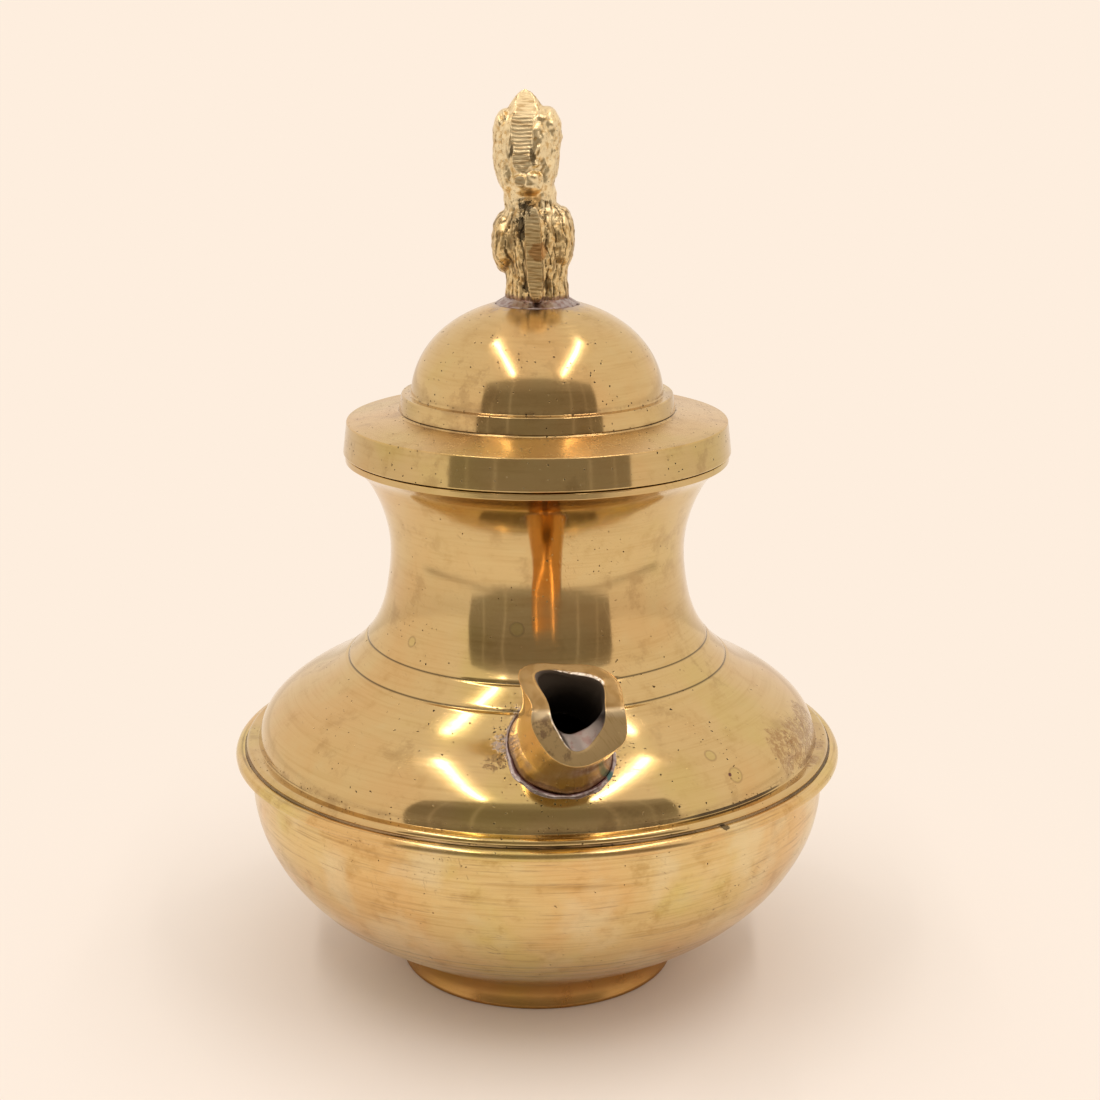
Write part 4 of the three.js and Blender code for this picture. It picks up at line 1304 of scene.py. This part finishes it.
def solder_splash(metal, tints, on_shell, spot, tube_radius):
    """Solder, stains and pits on the shoulder round the spout's foot."""
    origin, along = Vector(spot.origin), Vector(spot.along)
    across = metal.vector("CROSS_PRODUCT", metal.vector("SUBTRACT", metal.at, origin), along)
    off_tube = metal.vector("LENGTH", across, out="Value") - tube_radius
    front = metal.ramp(metal.z, 95 * MM, 88 * MM) * metal.ramp(metal.sine, -0.5, -0.8)
    rough_edge = metal.noise(metal.at, 1.6 * MM, 6.0, 0.72)
    splash = metal.ramp(off_tube + (rough_edge - 0.5) * (9 * MM), 2.3 * MM, 1.2 * MM) * front
    grit = metal.spots(0.9 * MM, 0.42, 0.56, 5.0, 0.75)
    metal.marked(splash * (0.3 + grit * 0.6), tints.solder, 0.3, 0.02 * MM)
    metal.tinted(splash * metal.ramp(rough_edge, 0.5, 0.6) * 0.6, tints.stain)
    drop = metal.blot(on_shell(-13.8, 75.9), 2.5 * MM, 1.2)
    metal.marked(drop * (0.25 + grit * 0.7), tints.solder, 0.4, 0.02 * MM)
    burnt = metal.blot(on_shell(-14.8, 73.2), 2.6 * MM, 1.2)
    metal.marked(burnt * (1 - grit) * 0.7, (0.16, 0.09, 0.05), 0.45)
    around = metal.ramp(off_tube, 6.5 * MM, 1.5 * MM) * front
    metal.pits(0.6 * MM, around * 0.5, tints.oxide, wide=0.26)
    metal.pits(1.3 * MM, around * 0.5 + front * 0.1, tints.oxide, wide=0.17)


def flange_seam(metal, tints, flange):
    """Tarnish and pits over the flange, and a dark broken line at the shoulder's foot."""
    seam = metal.near(flange + 2.3 * MM, 1.3 * MM)
    metal.tinted(seam * metal.ramp(metal.mottle, 0.4, 0.6) * 0.4, tints.tarnish)
    metal.pits(0.8 * MM, seam * 0.5, metal.BROWN)
    right = metal.within(metal.x, 22 * MM, 32 * MM, 46 * MM, 54 * MM)
    streak = metal.ramp(metal.turned(0.9 * MM, 2.2) + right * 0.35, 0.50, 0.62)
    width = 0.14 * MM + right * (0.26 * MM)
    line = metal.ramp(abs(metal.z - (flange + 1.8 * MM)), width, width * 0.6)
    metal.marked(line * streak * (0.6 + right * 0.3), (0.07, 0.055, 0.04), 0.5)


def body_finish(tints, spot, body, tube_radius):
    metal = Metal("body_brass", tints.polished, roughness=0.105, brushed=0.75)
    metal.patches(0.8)
    metal.lathe_marks(0.004 * MM)
    metal.scratches(0.4, tints.tarnish)
    metal.haze(19 * MM, 0.5, 0.25, tints.tarnish)

    def on_shell(degrees, height):
        """Place on the shell's outside at an angle from the spout and a height."""
        angle, out = math.radians(degrees), radius_at(spot.shoulder, height * MM)
        return out * math.sin(angle), AXIS_Y - out * math.cos(angle), height * MM

    shoulder_marks(metal, tints, on_shell)
    solder_splash(metal, tints, on_shell, spot, tube_radius)
    flange = foot_of("upper_body")
    flange_seam(metal, tints, flange)
    metal.scattered_pits()
    for rise in (body.upper_line, body.lower_line):
        line = metal.near(flange + body.flange_thickness + rise, 0.33 * MM)
        metal.marked(line * 0.8, tints.oxide, 0.45)
    return metal.done()


# A dark spot in the girdle, right of the spout
GIRDLE_SPOT = (35.8 * MM, -58.9 * MM, 59.3 * MM)


def girdle_oxide(metal):
    """1 where most oxide has settled in the girdle, from the front to its left."""
    left = metal.within(metal.x, -30 * MM, -26 * MM, -3 * MM, 3 * MM)
    return left * metal.ramp(metal.sine, 0.0, -0.3)


def bowl_finish(tints):
    metal = Metal("bowl_brass", tints.worn, roughness=0.18, brushed=0.6)
    metal.patches(1.5)
    pale = metal.ramp(metal.noise(metal.at, 12 * MM, 3.0) + metal.noise(metal.at, 26 * MM), 1.0, 1.3)
    metal.marked(pale * 0.45, (0.80, 0.70, 0.46), 0.30)
    metal.lathe_marks(0.008 * MM)
    metal.scratches(0.7, tints.tarnish)
    for width, stretch, amount in ((0.45, 6.0, 0.45), (1.1, 2.5, 0.28)):
        scratch = metal.ramp(metal.turned(width * MM, stretch, 4.0), 0.56, 0.72)
        metal.marked(scratch * amount, tints.tarnish, 0.35, -0.004 * MM)
    for radius in BELLY_RINGS:
        line = metal.ramp(abs(metal.radius - radius), 0.28 * MM, 0.08 * MM)
        line = line * metal.ramp(metal.z, RINGS_BELOW + MM, RINGS_BELOW - MM)
        metal.marked(line * 0.5, tints.tarnish, 0.3, -0.03 * MM)
    black = girdle_oxide(metal)
    broken = metal.ramp(metal.turned(1.0 * MM, 2.0) + black * 0.1, 0.54, 0.64)
    groove = metal.near(top_of("bowl") + 0.1 * MM, 0.5 * MM) * broken
    metal.marked(groove * (0.4 + black * 0.5), tints.oxide, 0.5)
    metal.marked(metal.blot(GIRDLE_SPOT, 1.2 * MM) * 0.8, tints.oxide, 0.5)
    metal.scattered_pits()
    return metal.done()


def foot_finish(tints):
    # Painted shade: the foot starts from the darker brown that stands in for the shade under the bowl
    metal = Metal("foot_brass", tints.shade_darkened, roughness=0.24)
    metal.patches(1.0)
    metal.lathe_marks(0.004 * MM)
    # Darker towards the top of the ring, where it meets the bowl
    metal.tinted(metal.ramp(metal.z, 5.2 * MM, 6.4 * MM) * 0.6, tints.tarnish)
    return metal.done()


def seam_finish(tints):
    """Brass-coloured solder in the girdle's groove, with dark places."""
    metal = Metal("seam_solder", (0.27, 0.19, 0.10), roughness=0.35)
    metal.patches(1.0)
    black = girdle_oxide(metal)
    dark = metal.ramp(metal.turned(1.2 * MM, 2.4, 4.0) + black * 0.13, 0.52, 0.60)
    metal.marked(dark * (0.45 + black * 0.5), tints.oxide, 0.5)
    metal.pits(0.8 * MM, 0.3, tints.oxide)
    metal.marked(metal.blot(GIRDLE_SPOT, 1.3 * MM) * 0.9, tints.oxide, 0.5)
    return metal.done()


def spout_finish(tints):
    metal = Metal("spout_brass", tints.heated, roughness=0.16)
    metal.patches(0.8)
    seam, part, across, burr, way_in = (
        metal.attribute(name) for name in ("from_seam", "part", "across", "burr", "way_in")
    )
    grain = metal.noise(metal.at, 2.2 * MM, 5.0, 0.65)
    low = metal.ramp(across, 3 * MM, -5 * MM)
    stained = metal.ramp(seam + (grain - 0.5) * (7 * MM), 3.6 * MM, 2.9 * MM) * low
    metal.marked(stained * 0.6, tints.stain, 0.26)
    edge = metal.ramp(seam + (grain - 0.5) * (2 * MM), 1.0 * MM, 0.5 * MM)
    metal.marked(edge * 0.8, (0.16, 0.05, 0.06), 0.3)
    metal.raised(metal.noise(metal.at, 1.4 * MM, 3.0) * (0.012 * MM))
    metal.pits(1.2 * MM, 0.15, tints.oxide)
    metal.shaded(metal.ramp(across, 1 * MM, 7 * MM), (0.72, 0.58, 0.46))
    rim = metal.ramp(abs(part - 1.0), 0.6, 0.4)
    upper = metal.ramp(across, -0.6 * MM, 0.6 * MM)
    fold = metal.ramp(abs(across + 0.3 * MM), 1.5 * MM, 0.2 * MM)
    metal.marked(rim * upper, (0.335, 0.225, 0.098), 0.34)
    metal.shaded(rim * metal.spots(3.5 * MM, 0.42, 0.62) * 0.8, (0.78, 0.72, 0.62))
    metal.marked(rim * (1 - upper), (0.70, 0.525, 0.275), 0.34)
    left = metal.ramp(metal.x, 3 * MM, -3 * MM)
    metal.tinted(rim * (1 - upper) * left * metal.ramp(grain, 0.50, 0.62) * 0.6, tints.stain)
    # Painted highlight: a pale band along the fold where the two cuts of the lip meet
    metal.marked(rim * fold * 0.7, (0.88, 0.74, 0.50), 0.3)
    stretched = metal.vector("MULTIPLY", metal.tilted(0.6), (2600.0, 300.0, 250.0))
    files = metal.noise(stretched, 1.0)
    filed = rim * (1 - upper) * (1 - left)
    metal.raised(files * filed * (0.005 * MM))
    metal.shaded(metal.ramp(files, 0.5, 0.7) * filed * 0.6, (0.76, 0.70, 0.62))
    torn = metal.ramp(burr, 0.12, 0.45) * metal.spots(0.8 * MM, 0.3, 0.5, 3.0)
    metal.marked(torn, (0.97, 0.92, 0.84), 0.45)
    bore = metal.ramp(part, 1.5, 1.9)
    chute = bore * metal.ramp(way_in, 2.9 * MM, 2.3 * MM) * metal.ramp(across, 1.0 * MM, -0.6 * MM)
    # The bore gets a dark colour and little metal shine
    metal.marked(bore, tints.dark_bore, 0.6)
    metal.marked(chute, (0.25, 0.22, 0.205), 0.42)
    metal.tinted(chute * metal.ramp(grain, 0.5, 0.62) * 0.5, tints.stain)
    metal.metallic = 1 - bore * (1 - chute) * 0.8
    return metal.done()


def solder_finish(tints):
    metal = Metal("solder", tints.solder, roughness=0.28)
    grain = metal.noise(metal.at, 1.3 * MM, 5.0, 0.65)
    metal.tinted(metal.ramp(grain, 0.44, 0.60) * 0.65, tints.stain)
    metal.raised(grain * (0.09 * MM))
    up = metal.attribute("up")
    ridge = metal.ramp(abs(up - 0.4 + (grain - 0.5) * 0.3), 0.2, 0.05)
    ridge = ridge * metal.ramp(metal.x, 4 * MM, -6 * MM)
    metal.marked(ridge * 0.7, (0.66, 0.60, 0.60), 0.2)
    upper = metal.ramp(up + (grain - 0.5) * 0.5, 0.62, 0.82)
    metal.marked(upper * 0.85, (0.10, 0.035, 0.04), 0.35)
    metal.pits(0.6 * MM, 0.25, tints.oxide, wide=0.24)
    green = metal.blot((10.4 * MM, AXIS_Y - 62 * MM, 70.8 * MM), 1.2 * MM, 1.0)
    metal.tinted(green * 0.8, tints.verdigris)
    return metal.done()


# Dark places on the bird's front: x, height and size
BIRD_SPOTS = (
    (-3.2, 190.3, 1.7), (-4.4, 186.5, 1.5), (-4.2, 184, 1.0), (-7.4, 179.0, 1.1), (-2.4, 172, 1.4),
)


def bird_finish(tints):
    metal = Metal("cast_brass", tints.cast, roughness=0.32)
    filed, hollow = metal.attribute("filed"), metal.attribute("hollow")
    grain = metal.noise(metal.at, 1.3 * MM, 5.0, 0.65)
    # The body below the head is darker: partly a browner tint of the cast, partly painted shade of its
    # many hollows
    metal.shaded(metal.ramp(metal.z, 190 * MM, 184 * MM) * 0.8, (0.90, 0.80, 0.62))
    metal.shaded(metal.ramp(grain, 0.45, 0.65) * (1 - filed), (0.74, 0.62, 0.46))
    metal.raised(metal.noise(metal.at, 0.8 * MM, 4.0) * (0.018 * MM) * (1 - filed))
    metal.marked(metal.ramp(hollow + (grain - 0.5) * 0.9, 0.3, 0.7) * 0.8, (0.06, 0.04, 0.02), 0.55)
    spots = metal.spots(0.9 * MM, 0.60, 0.66, 4.0, 0.7)
    metal.marked(spots * (1 - filed) * 0.5, tints.oxide, 0.6)
    front = AXIS_Y - 7 * MM
    metal.tinted(metal.blot((-1.6 * MM, front, 192.6 * MM), 2.4 * MM) * 0.8, tints.heated)
    metal.tinted(metal.blot((-0.6 * MM, front - 2 * MM, 180.5 * MM), 2.2 * MM) * 0.7, (0.5, 0.24, 0.07))
    for x, height, size in BIRD_SPOTS:
        dark = metal.blot((x * MM, front, height * MM), size * 1.25 * MM, 1.3)
        metal.marked(dark * 0.85, tints.oxide, 0.6, -0.05 * MM)
    foot = metal.ramp(metal.z + (grain - 0.5) * (3 * MM), 170.0 * MM, 169.2 * MM)
    metal.marked(foot * 0.8, tints.stain, 0.35)
    drawn_up = metal.vector("MULTIPLY", metal.at, (1.0, 1.0, 0.2))
    brown = metal.ramp(metal.noise(drawn_up, 1.0 * MM, 4.0), 0.50, 0.62)
    brown = brown * (1 - filed) * metal.ramp(metal.z, 193 * MM, 189 * MM)
    metal.marked(brown * 0.65, (0.14, 0.09, 0.04), 0.5)
    files = metal.noise(metal.vector("MULTIPLY", metal.at, (0.15, 0.15, 1.0)), 0.45 * MM, 3.0)
    metal.shaded(metal.ramp(files, 0.48, 0.64) * filed * 0.7, (0.60, 0.47, 0.33))
    return metal.done()


def inner_finish(tints):
    metal = Metal("inner_brass", tints.worn, roughness=0.3)
    metal.patches(1.0)
    metal.lathe_marks(0.008 * MM)
    return metal.done()


def finish_named(name):
    """A finish that several pieces share, made once."""
    makers = {
        "lid_brass": lid_finish, "solder": solder_finish, "inner_brass": inner_finish,
        "seam_solder": seam_finish,
    }
    made = bpy.data.materials.get(name + "_finish")
    return made or makers[name](bpy.context.scene.ghee_tints)


# Operators, one for each group of pieces

def put_turned(name, node, body, slot, finish, outline, longest, sides, change=None):
    """Adds a turned piece whose outline has no step longer than the given one."""
    mesh = turned_mesh(name, fine(outline, longest), sides, change)
    put(name, mesh, body, slot, finish, node)


def put_solder(name, node, body, places, sides, lumps, wave, seed,
               finish="solder", fuller=0.0, steps=8):
    """Adds a ring of uneven solder, whose places are its corner and both ends.

    The size and wave of its lumps are in millimetres.
    """
    corner, one_end, other_end = (np.array(place, float) for place in places)
    fullness = bpy.context.scene.ghee_solder.fullness + fuller
    face = hollow_face(corner, one_end, other_end, fullness, np.linspace(0, 1, steps)[:, None])

    def lumpy(angle, height, radius):
        return waves(angle, height + radius, lumps * MM, wave * MM, seed)

    mesh = turned_mesh(name, np.vstack([[corner], face, [corner]]), sides, lumpy)
    put(name, mesh, body, "solder", finish_named(finish), node)


class MakeFoot(bpy.types.Operator):
    """Foot ring and the solder inside it"""
    bl_idname = "gheepot.foot"
    bl_label = "Foot Ring"

    def execute(self, context):
        sizes, solder = context.scene.ghee_bowl, context.scene.ghee_solder
        finish = foot_finish(context.scene.ghee_tints)
        put_turned("foot_ring_turned", "foot_ring", "pot", "foot_brass", finish,
                   foot_outline(sizes), longest=0.5 * MM, sides=256)
        belly = belly_line(sizes)
        outer, leg = reach_of("foot_ring") - sizes.foot_width, solder.inner_leg
        top = height_at(belly, outer)
        places = (outer, top), (outer - leg, height_at(belly, outer - leg)), (outer, top - leg)
        put_solder("foot_solder_fillet", "foot_solder", "pot", places,
                   sides=192, lumps=0.12, wave=6, seed=51)
        return {"FINISHED"}


class MakeBowl(bpy.types.Operator):
    """Bowl with its flange, and the solder in the girdle's groove"""
    bl_idname = "gheepot.bowl"
    bl_label = "Bowl"

    def execute(self, context):
        sizes, solder = context.scene.ghee_bowl, context.scene.ghee_solder
        finish = bowl_finish(context.scene.ghee_tints)
        put_turned("bowl_shell", "bowl", "pot", "bowl_brass", finish,
                   bowl_outline(sizes), longest=1.5 * MM, sides=300, change=bowl_change)
        inner, low = reach_of("upper_body") - 0.5 * MM, top_of("bowl")
        leg = solder.seam_leg
        places = (inner, low), (inner + leg, low), (inner, low + leg * 0.9)
        put_solder("girdle_solder_line", "girdle_solder", "pot", places,
                   sides=320, lumps=0.05, wave=9, seed=52, finish="seam_solder")
        return {"FINISHED"}


# Half length and sides of the tool that cuts the hole behind the spout
DRILL_REACH = 14 * MM
DRILL_SIDES = 72


class MakeUpperBody(bpy.types.Operator):
    """Shoulder and neck in one shell, with the hole behind the spout"""
    bl_idname = "gheepot.upper_body"
    bl_label = "Upper Body"

    def execute(self, context):
        sizes, tube = context.scene.ghee_body, context.scene.ghee_spout

        def uneven(angle, height, radius):
            return body_change(angle, height, radius, sizes)

        outline = fine(body_outline(sizes), longest=1.8 * MM)
        shell = turned_mesh("upper_shell", outline, sides=272, change=uneven)
        spot = spout_frame(context)
        side, bore = all_round(DRILL_SIDES), tube.radius - tube.wall
        s = np.array([-1, -1, 1, 1])[:, None] * DRILL_REACH
        wide = np.array([0, bore, bore, 0])[:, None]
        drill = from_spout(spot, wide * np.cos(side), wide * np.sin(side), s + 0 * side)
        cutter = linked("drill", skin("drill", drill))
        shell = reshaped(shell, "upper_shell", (
            "BOOLEAN", {"operation": "DIFFERENCE", "object": cutter, "solver": "EXACT"},
        ))
        bpy.data.objects.remove(cutter)
        shell.materials.clear()
        finish = body_finish(context.scene.ghee_tints, spot, sizes, tube.radius)
        put("upper_shell", shell, "pot", "body_brass", finish, "upper_body")
        return {"FINISHED"}


class MakeSpout(bpy.types.Operator):
    """Spout tube with its hand-cut mouth, and the solder round its foot"""
    bl_idname = "gheepot.spout"
    bl_label = "Spout"

    def execute(self, context):
        finish = spout_finish(context.scene.ghee_tints)
        put("spout_tube", spout_mesh(context), "pot", "spout_brass", finish, "spout")
        put("spout_solder_bead", bead_mesh(context), "pot", "solder",
            finish_named("solder"), "spout_solder")
        return {"FINISHED"}


class MakeLid(bpy.types.Operator):
    """Brim, dome, collar and their solder"""
    bl_idname = "gheepot.lid"
    bl_label = "Lid"

    def execute(self, context):
        sizes, solder = context.scene.ghee_lid, context.scene.ghee_solder

        def uneven(angle, height, radius):
            return waves(angle, height, 0.01 * MM, 16 * MM, 61)

        for name, node, outline, finish in (
            ("brim_turned", "lid_brim", brim_outline(sizes), "lid_brass"),
            ("dome_turned", "lid_dome", dome_outline(sizes), "lid_brass"),
            ("collar_sleeve", "lid_collar", collar_outline(sizes), "inner_brass"),
        ):
            put_turned(name, node, "lid", "lid_brass", finish_named(finish), outline,
                       longest=0.7 * MM, sides=256, change=uneven)
        side, low = reach_of("lid_dome") - sizes.band_taper - sizes.wall, foot_of("lid_dome")
        places = (side, low), (side - sizes.ledge, low), (side, low + sizes.ledge)
        put_solder("dome_solder_fillet", "dome_solder", "lid", places,
                   sides=192, lumps=0.08, wave=6, seed=53)
        side, top, leg = reach_of("lid_collar"), top_of("collar_solder"), solder.inner_leg
        places = (side, top), (side + leg, top - 0.3 * MM), (side, top - leg)
        put_solder("collar_solder_fillet", "collar_solder", "lid", places,
                   sides=192, lumps=0.1, wave=6, seed=54)
        return {"FINISHED"}


class MakeBird(bpy.types.Operator):
    """Cast bird and the solder round its foot"""
    bl_idname = "gheepot.bird"
    bl_label = "Bird"

    def execute(self, context):
        sizes, solder = context.scene.ghee_bird, context.scene.ghee_solder
        finish = bird_finish(context.scene.ghee_tints)
        put("bird", bird_mesh(context), "lid", "cast_brass", finish, "finial")
        dome = dome_line(context.scene.ghee_lid)[::-1]
        inner = sizes.foot_radius - 0.4 * MM
        outer, seat = inner + solder.bird_leg, height_at(dome, inner)
        top = seat + solder.bird_height
        places = (inner, seat), (outer, height_at(dome, outer)), (inner, top)
        put_solder("bird_solder", "finial_solder", "lid", places,
                   sides=224, lumps=0.07, wave=20, seed=55, fuller=0.1, steps=12)
        return {"FINISHED"}


# Studio: places in metres from the pot's axis, with x to the camera's right, y away from
# the camera and z up, and turned with the camera

# Ends of the strip lights, and how far the card that shows each one in the metal reaches
# past its ends and to its sides
STRIPS = {
    "left_strip": ((-0.25, -0.49, 0.72), (-0.38, 0.17, 1.0)),
    "right_strip": ((0.26, -0.49, 0.72), (0.37, 0.19, 0.93)),
}
STRIP_WIDTH = 0.035
GLOW_OVERHANG = 0.05
GLOW_REACH = 0.12
# The place in the pot that the strips face
AIM = Vector((0, AXIS_Y, 0.1))
FLOOR_HALF = 4.0
# Half sizes of the floor's pale sheet, whose dark edge shows in the metal
SHEET = (0.375, 0.49)
# The opening's left, right and top, and the seams across it
OPENING = (-0.58, 0.67, 0.61)
OPENING_SEAMS = (-0.40, -0.21, 0.27, 0.46)


def studio_turn(studio):
    """Turns studio places into the pot's frame."""
    return Matrix.Translation((0, AXIS_Y, 0)) @ Matrix.Rotation(studio.azimuth, 4, "Z")


def lamp(name, start, end, studio):
    """A strip light between two places, facing the pot, and the glow that the metal sees."""
    turned = studio_turn(studio)
    start, end = turned @ Vector(start), turned @ Vector(end)
    middle, reach = (start + end) / 2, (end - start).length
    away = (middle - AIM).normalized()
    x = (end - start).normalized()
    z = (away - x * away.dot(x)).normalized()
    data = bpy.data.lights.new(name, "AREA")
    data.shape, data.size, data.size_y = "RECTANGLE", reach, STRIP_WIDTH
    data.energy = studio.lamp * math.pi * reach * STRIP_WIDTH
    lit = linked(name, data)
    lit.matrix_world = Matrix((x, z.cross(x), z)).transposed().to_4x4()
    lit.location = middle
    lit.visible_camera = lit.visible_glossy = False
    glow(name + "_glow", start - x * GLOW_OVERHANG, end + x * GLOW_OVERHANG, studio)


def glow(name, start, end, studio):
    """What the metal sees of a strip light: a bright line in a soft glow, on its own card."""
    reach, along = (end - start).length, (end - start).normalized()
    side = along.cross(AIM - start).normalized() * GLOW_REACH
    f = Finish(bpy.data.materials.new(name))
    off = f.vector("SUBTRACT", f.places(), start)
    way = f.vector("DOT_PRODUCT", off, along, out="Value")
    off_line = f.vector("LENGTH", f.vector("CROSS_PRODUCT", off, along), out="Value")
    ends = f.within(way, 0.02, 0.07, reach - 0.07, reach - 0.02)
    bright = f.ramp(off_line, 0.11, 0.0) * studio.glow
    bright = bright + f.ramp(off_line, 0.026, 0.007) * studio.core
    bright = bright * ends + 1.0
    colour = f.vector("MULTIPLY", tuple(studio.cream), f.combine(bright, bright, bright))
    corners = (start - side, start + side, end + side, end - side)
    reflected_only(stage_plane(name, corners, f.finished(f.shining(colour))))


def reflected_only(card):
    card.visible_camera = card.visible_diffuse = card.visible_shadow = False
    card.visible_transmission = False


def stage_plane(name, corners, material):
    mesh = bpy.data.meshes.new(name)
    mesh.from_pydata([tuple(corner) for corner in corners], [], [(0, 1, 2, 3)])
    mesh.materials.append(material)
    plane = linked(name, mesh)
    return plane


class MakeStudio(bpy.types.Operator):
    """Camera, floor, background and light"""
    bl_idname = "gheepot.studio"
    bl_label = "Studio"

    def execute(self, context):
        studio = context.scene.ghee_studio
        self.background(studio)
        self.floor(studio)
        self.opening(studio)
        for name, (start, end) in STRIPS.items():
            lamp(name, start, end, studio)
        self.camera(studio)
        context.scene.view_settings.view_transform = "Standard"
        return {"FINISHED"}

    def background(self, studio):
        """Cream for what the camera and the metal see, and plain white light for the rest."""
        f = Finish(bpy.data.worlds.new("tent"))
        rays = [
            f.node("ShaderNodeLightPath", out=name)
            for name in ("Is Camera Ray", "Is Glossy Ray", "Is Transmission Ray")
        ]
        seen = f.maths("MINIMUM", rays[0] + rays[1] + rays[2], 1.0)
        colour = f.mix(seen, (1.0, 0.97, 0.94, 1.0), opaque(studio.cream))
        tent = f.node("ShaderNodeBackground", None, {"Color": colour, "Strength": 1.0})
        bpy.context.scene.world = f.finished(tent, "ShaderNodeOutputWorld")

    def floor(self, studio):
        """Pale floor that keeps the pot's shadow and fades into the background."""
        f = Finish(bpy.data.materials.new("floor"))
        x, y, _ = f.parts(f.places())
        y = y - AXIS_Y
        out = f.maths("SQRT", x * x + y * y)
        camera = f.node("ShaderNodeLightPath", out="Is Camera Ray")
        plain = camera * f.ramp(out, 0.05, 0.22)
        edge = ((x / SHEET[0]) ** 4 + (y / SHEET[1]) ** 4) ** 0.25
        edge = f.ramp(abs(edge - 1.0), 0.09, 0.05) * f.ramp(y, 0.1, 0.0)
        colour = f.mix(edge * 0.8, opaque(studio.floor), opaque(studio.opening))
        matt = f.node("ShaderNodeBsdfDiffuse", None, {"Color": colour})
        pale = f.shining(opaque(studio.cream))
        surface = f.node("ShaderNodeMixShader", None, {0: plain, 1: matt, 2: pale})
        h = FLOOR_HALF
        corners = [(-h, -h, 0), (h, -h, 0), (h, h, 0), (-h, h, 0)]
        stage_plane("floor", corners, f.finished(surface))

    def opening(self, studio):
        """The dark side of the tent, seen only in the metal."""
        f = Finish(bpy.data.materials.new("opening"))
        x, y, z = f.parts(f.places())
        along = x * math.cos(studio.azimuth) + y * math.sin(studio.azimuth)
        seams = sum(f.ramp(abs(along - place), 0.012, 0.004) for place in OPENING_SEAMS)
        lighter = f.ramp(z, 0.25, 0.0) * 0.16 + f.ramp(z, 0.34, 0.50) * 0.22
        colour = f.mix(lighter, opaque(studio.opening), opaque(studio.floor))
        colour = f.mix(seams * 0.22, colour, opaque(studio.cream))
        (left, right, top), y = OPENING, -studio.distance
        turned = studio_turn(studio)
        corners = ((left, y, 0), (right, y, 0), (right, y, top), (left, y, top))
        corners = [turned @ Vector(corner) for corner in corners]
        reflected_only(stage_plane("opening", corners, f.finished(f.shining(colour))))

    def camera(self, studio):
        data = bpy.data.cameras.new("camera")
        data.lens, data.sensor_width, data.shift_x = studio.focal, 36.0, studio.shift
        data.clip_start = 0.01
        camera = linked("camera", data)
        place = Matrix.Translation((0, -studio.distance, studio.height))
        down = Matrix.Rotation(math.pi / 2 - studio.pitch, 4, "X")
        camera.matrix_world = studio_turn(studio) @ place @ down
        bpy.context.scene.camera = camera


OPERATORS = (MakeStudio, MakeFoot, MakeBowl, MakeUpperBody, MakeSpout, MakeLid, MakeBird)


class GheePotPanel(bpy.types.Panel):
    """Sidebar panel with the sizes, the tints and a button for each group of pieces"""
    bl_idname = "VIEW3D_PT_ghee_pot"
    bl_label = "Ghee Pot"
    bl_space_type = "VIEW_3D"
    bl_region_type = "UI"
    bl_category = "Ghee Pot"

    def draw(self, context):
        for name, group in GROUPS.items():
            box = self.layout.box()
            box.label(text=group.__doc__)
            for key in group.__annotations__:
                box.prop(getattr(context.scene, name), key)
        for operator in OPERATORS:
            self.layout.operator(operator.bl_idname)


def register():
    for group in GROUPS.values():
        bpy.utils.register_class(group)
    for name, group in GROUPS.items():
        setattr(bpy.types.Scene, name, PointerProperty(type=group))
    for cls in (*OPERATORS, GheePotPanel):
        bpy.utils.register_class(cls)


def unregister():
    for cls in (GheePotPanel, *reversed(OPERATORS)):
        bpy.utils.unregister_class(cls)
    for name, group in GROUPS.items():
        delattr(bpy.types.Scene, name)
        bpy.utils.unregister_class(group)


def main():
    register()
    for operator in OPERATORS:
        family, name = operator.bl_idname.split(".")
        getattr(getattr(bpy.ops, family), name)()


if __name__ == "__main__":
    main()
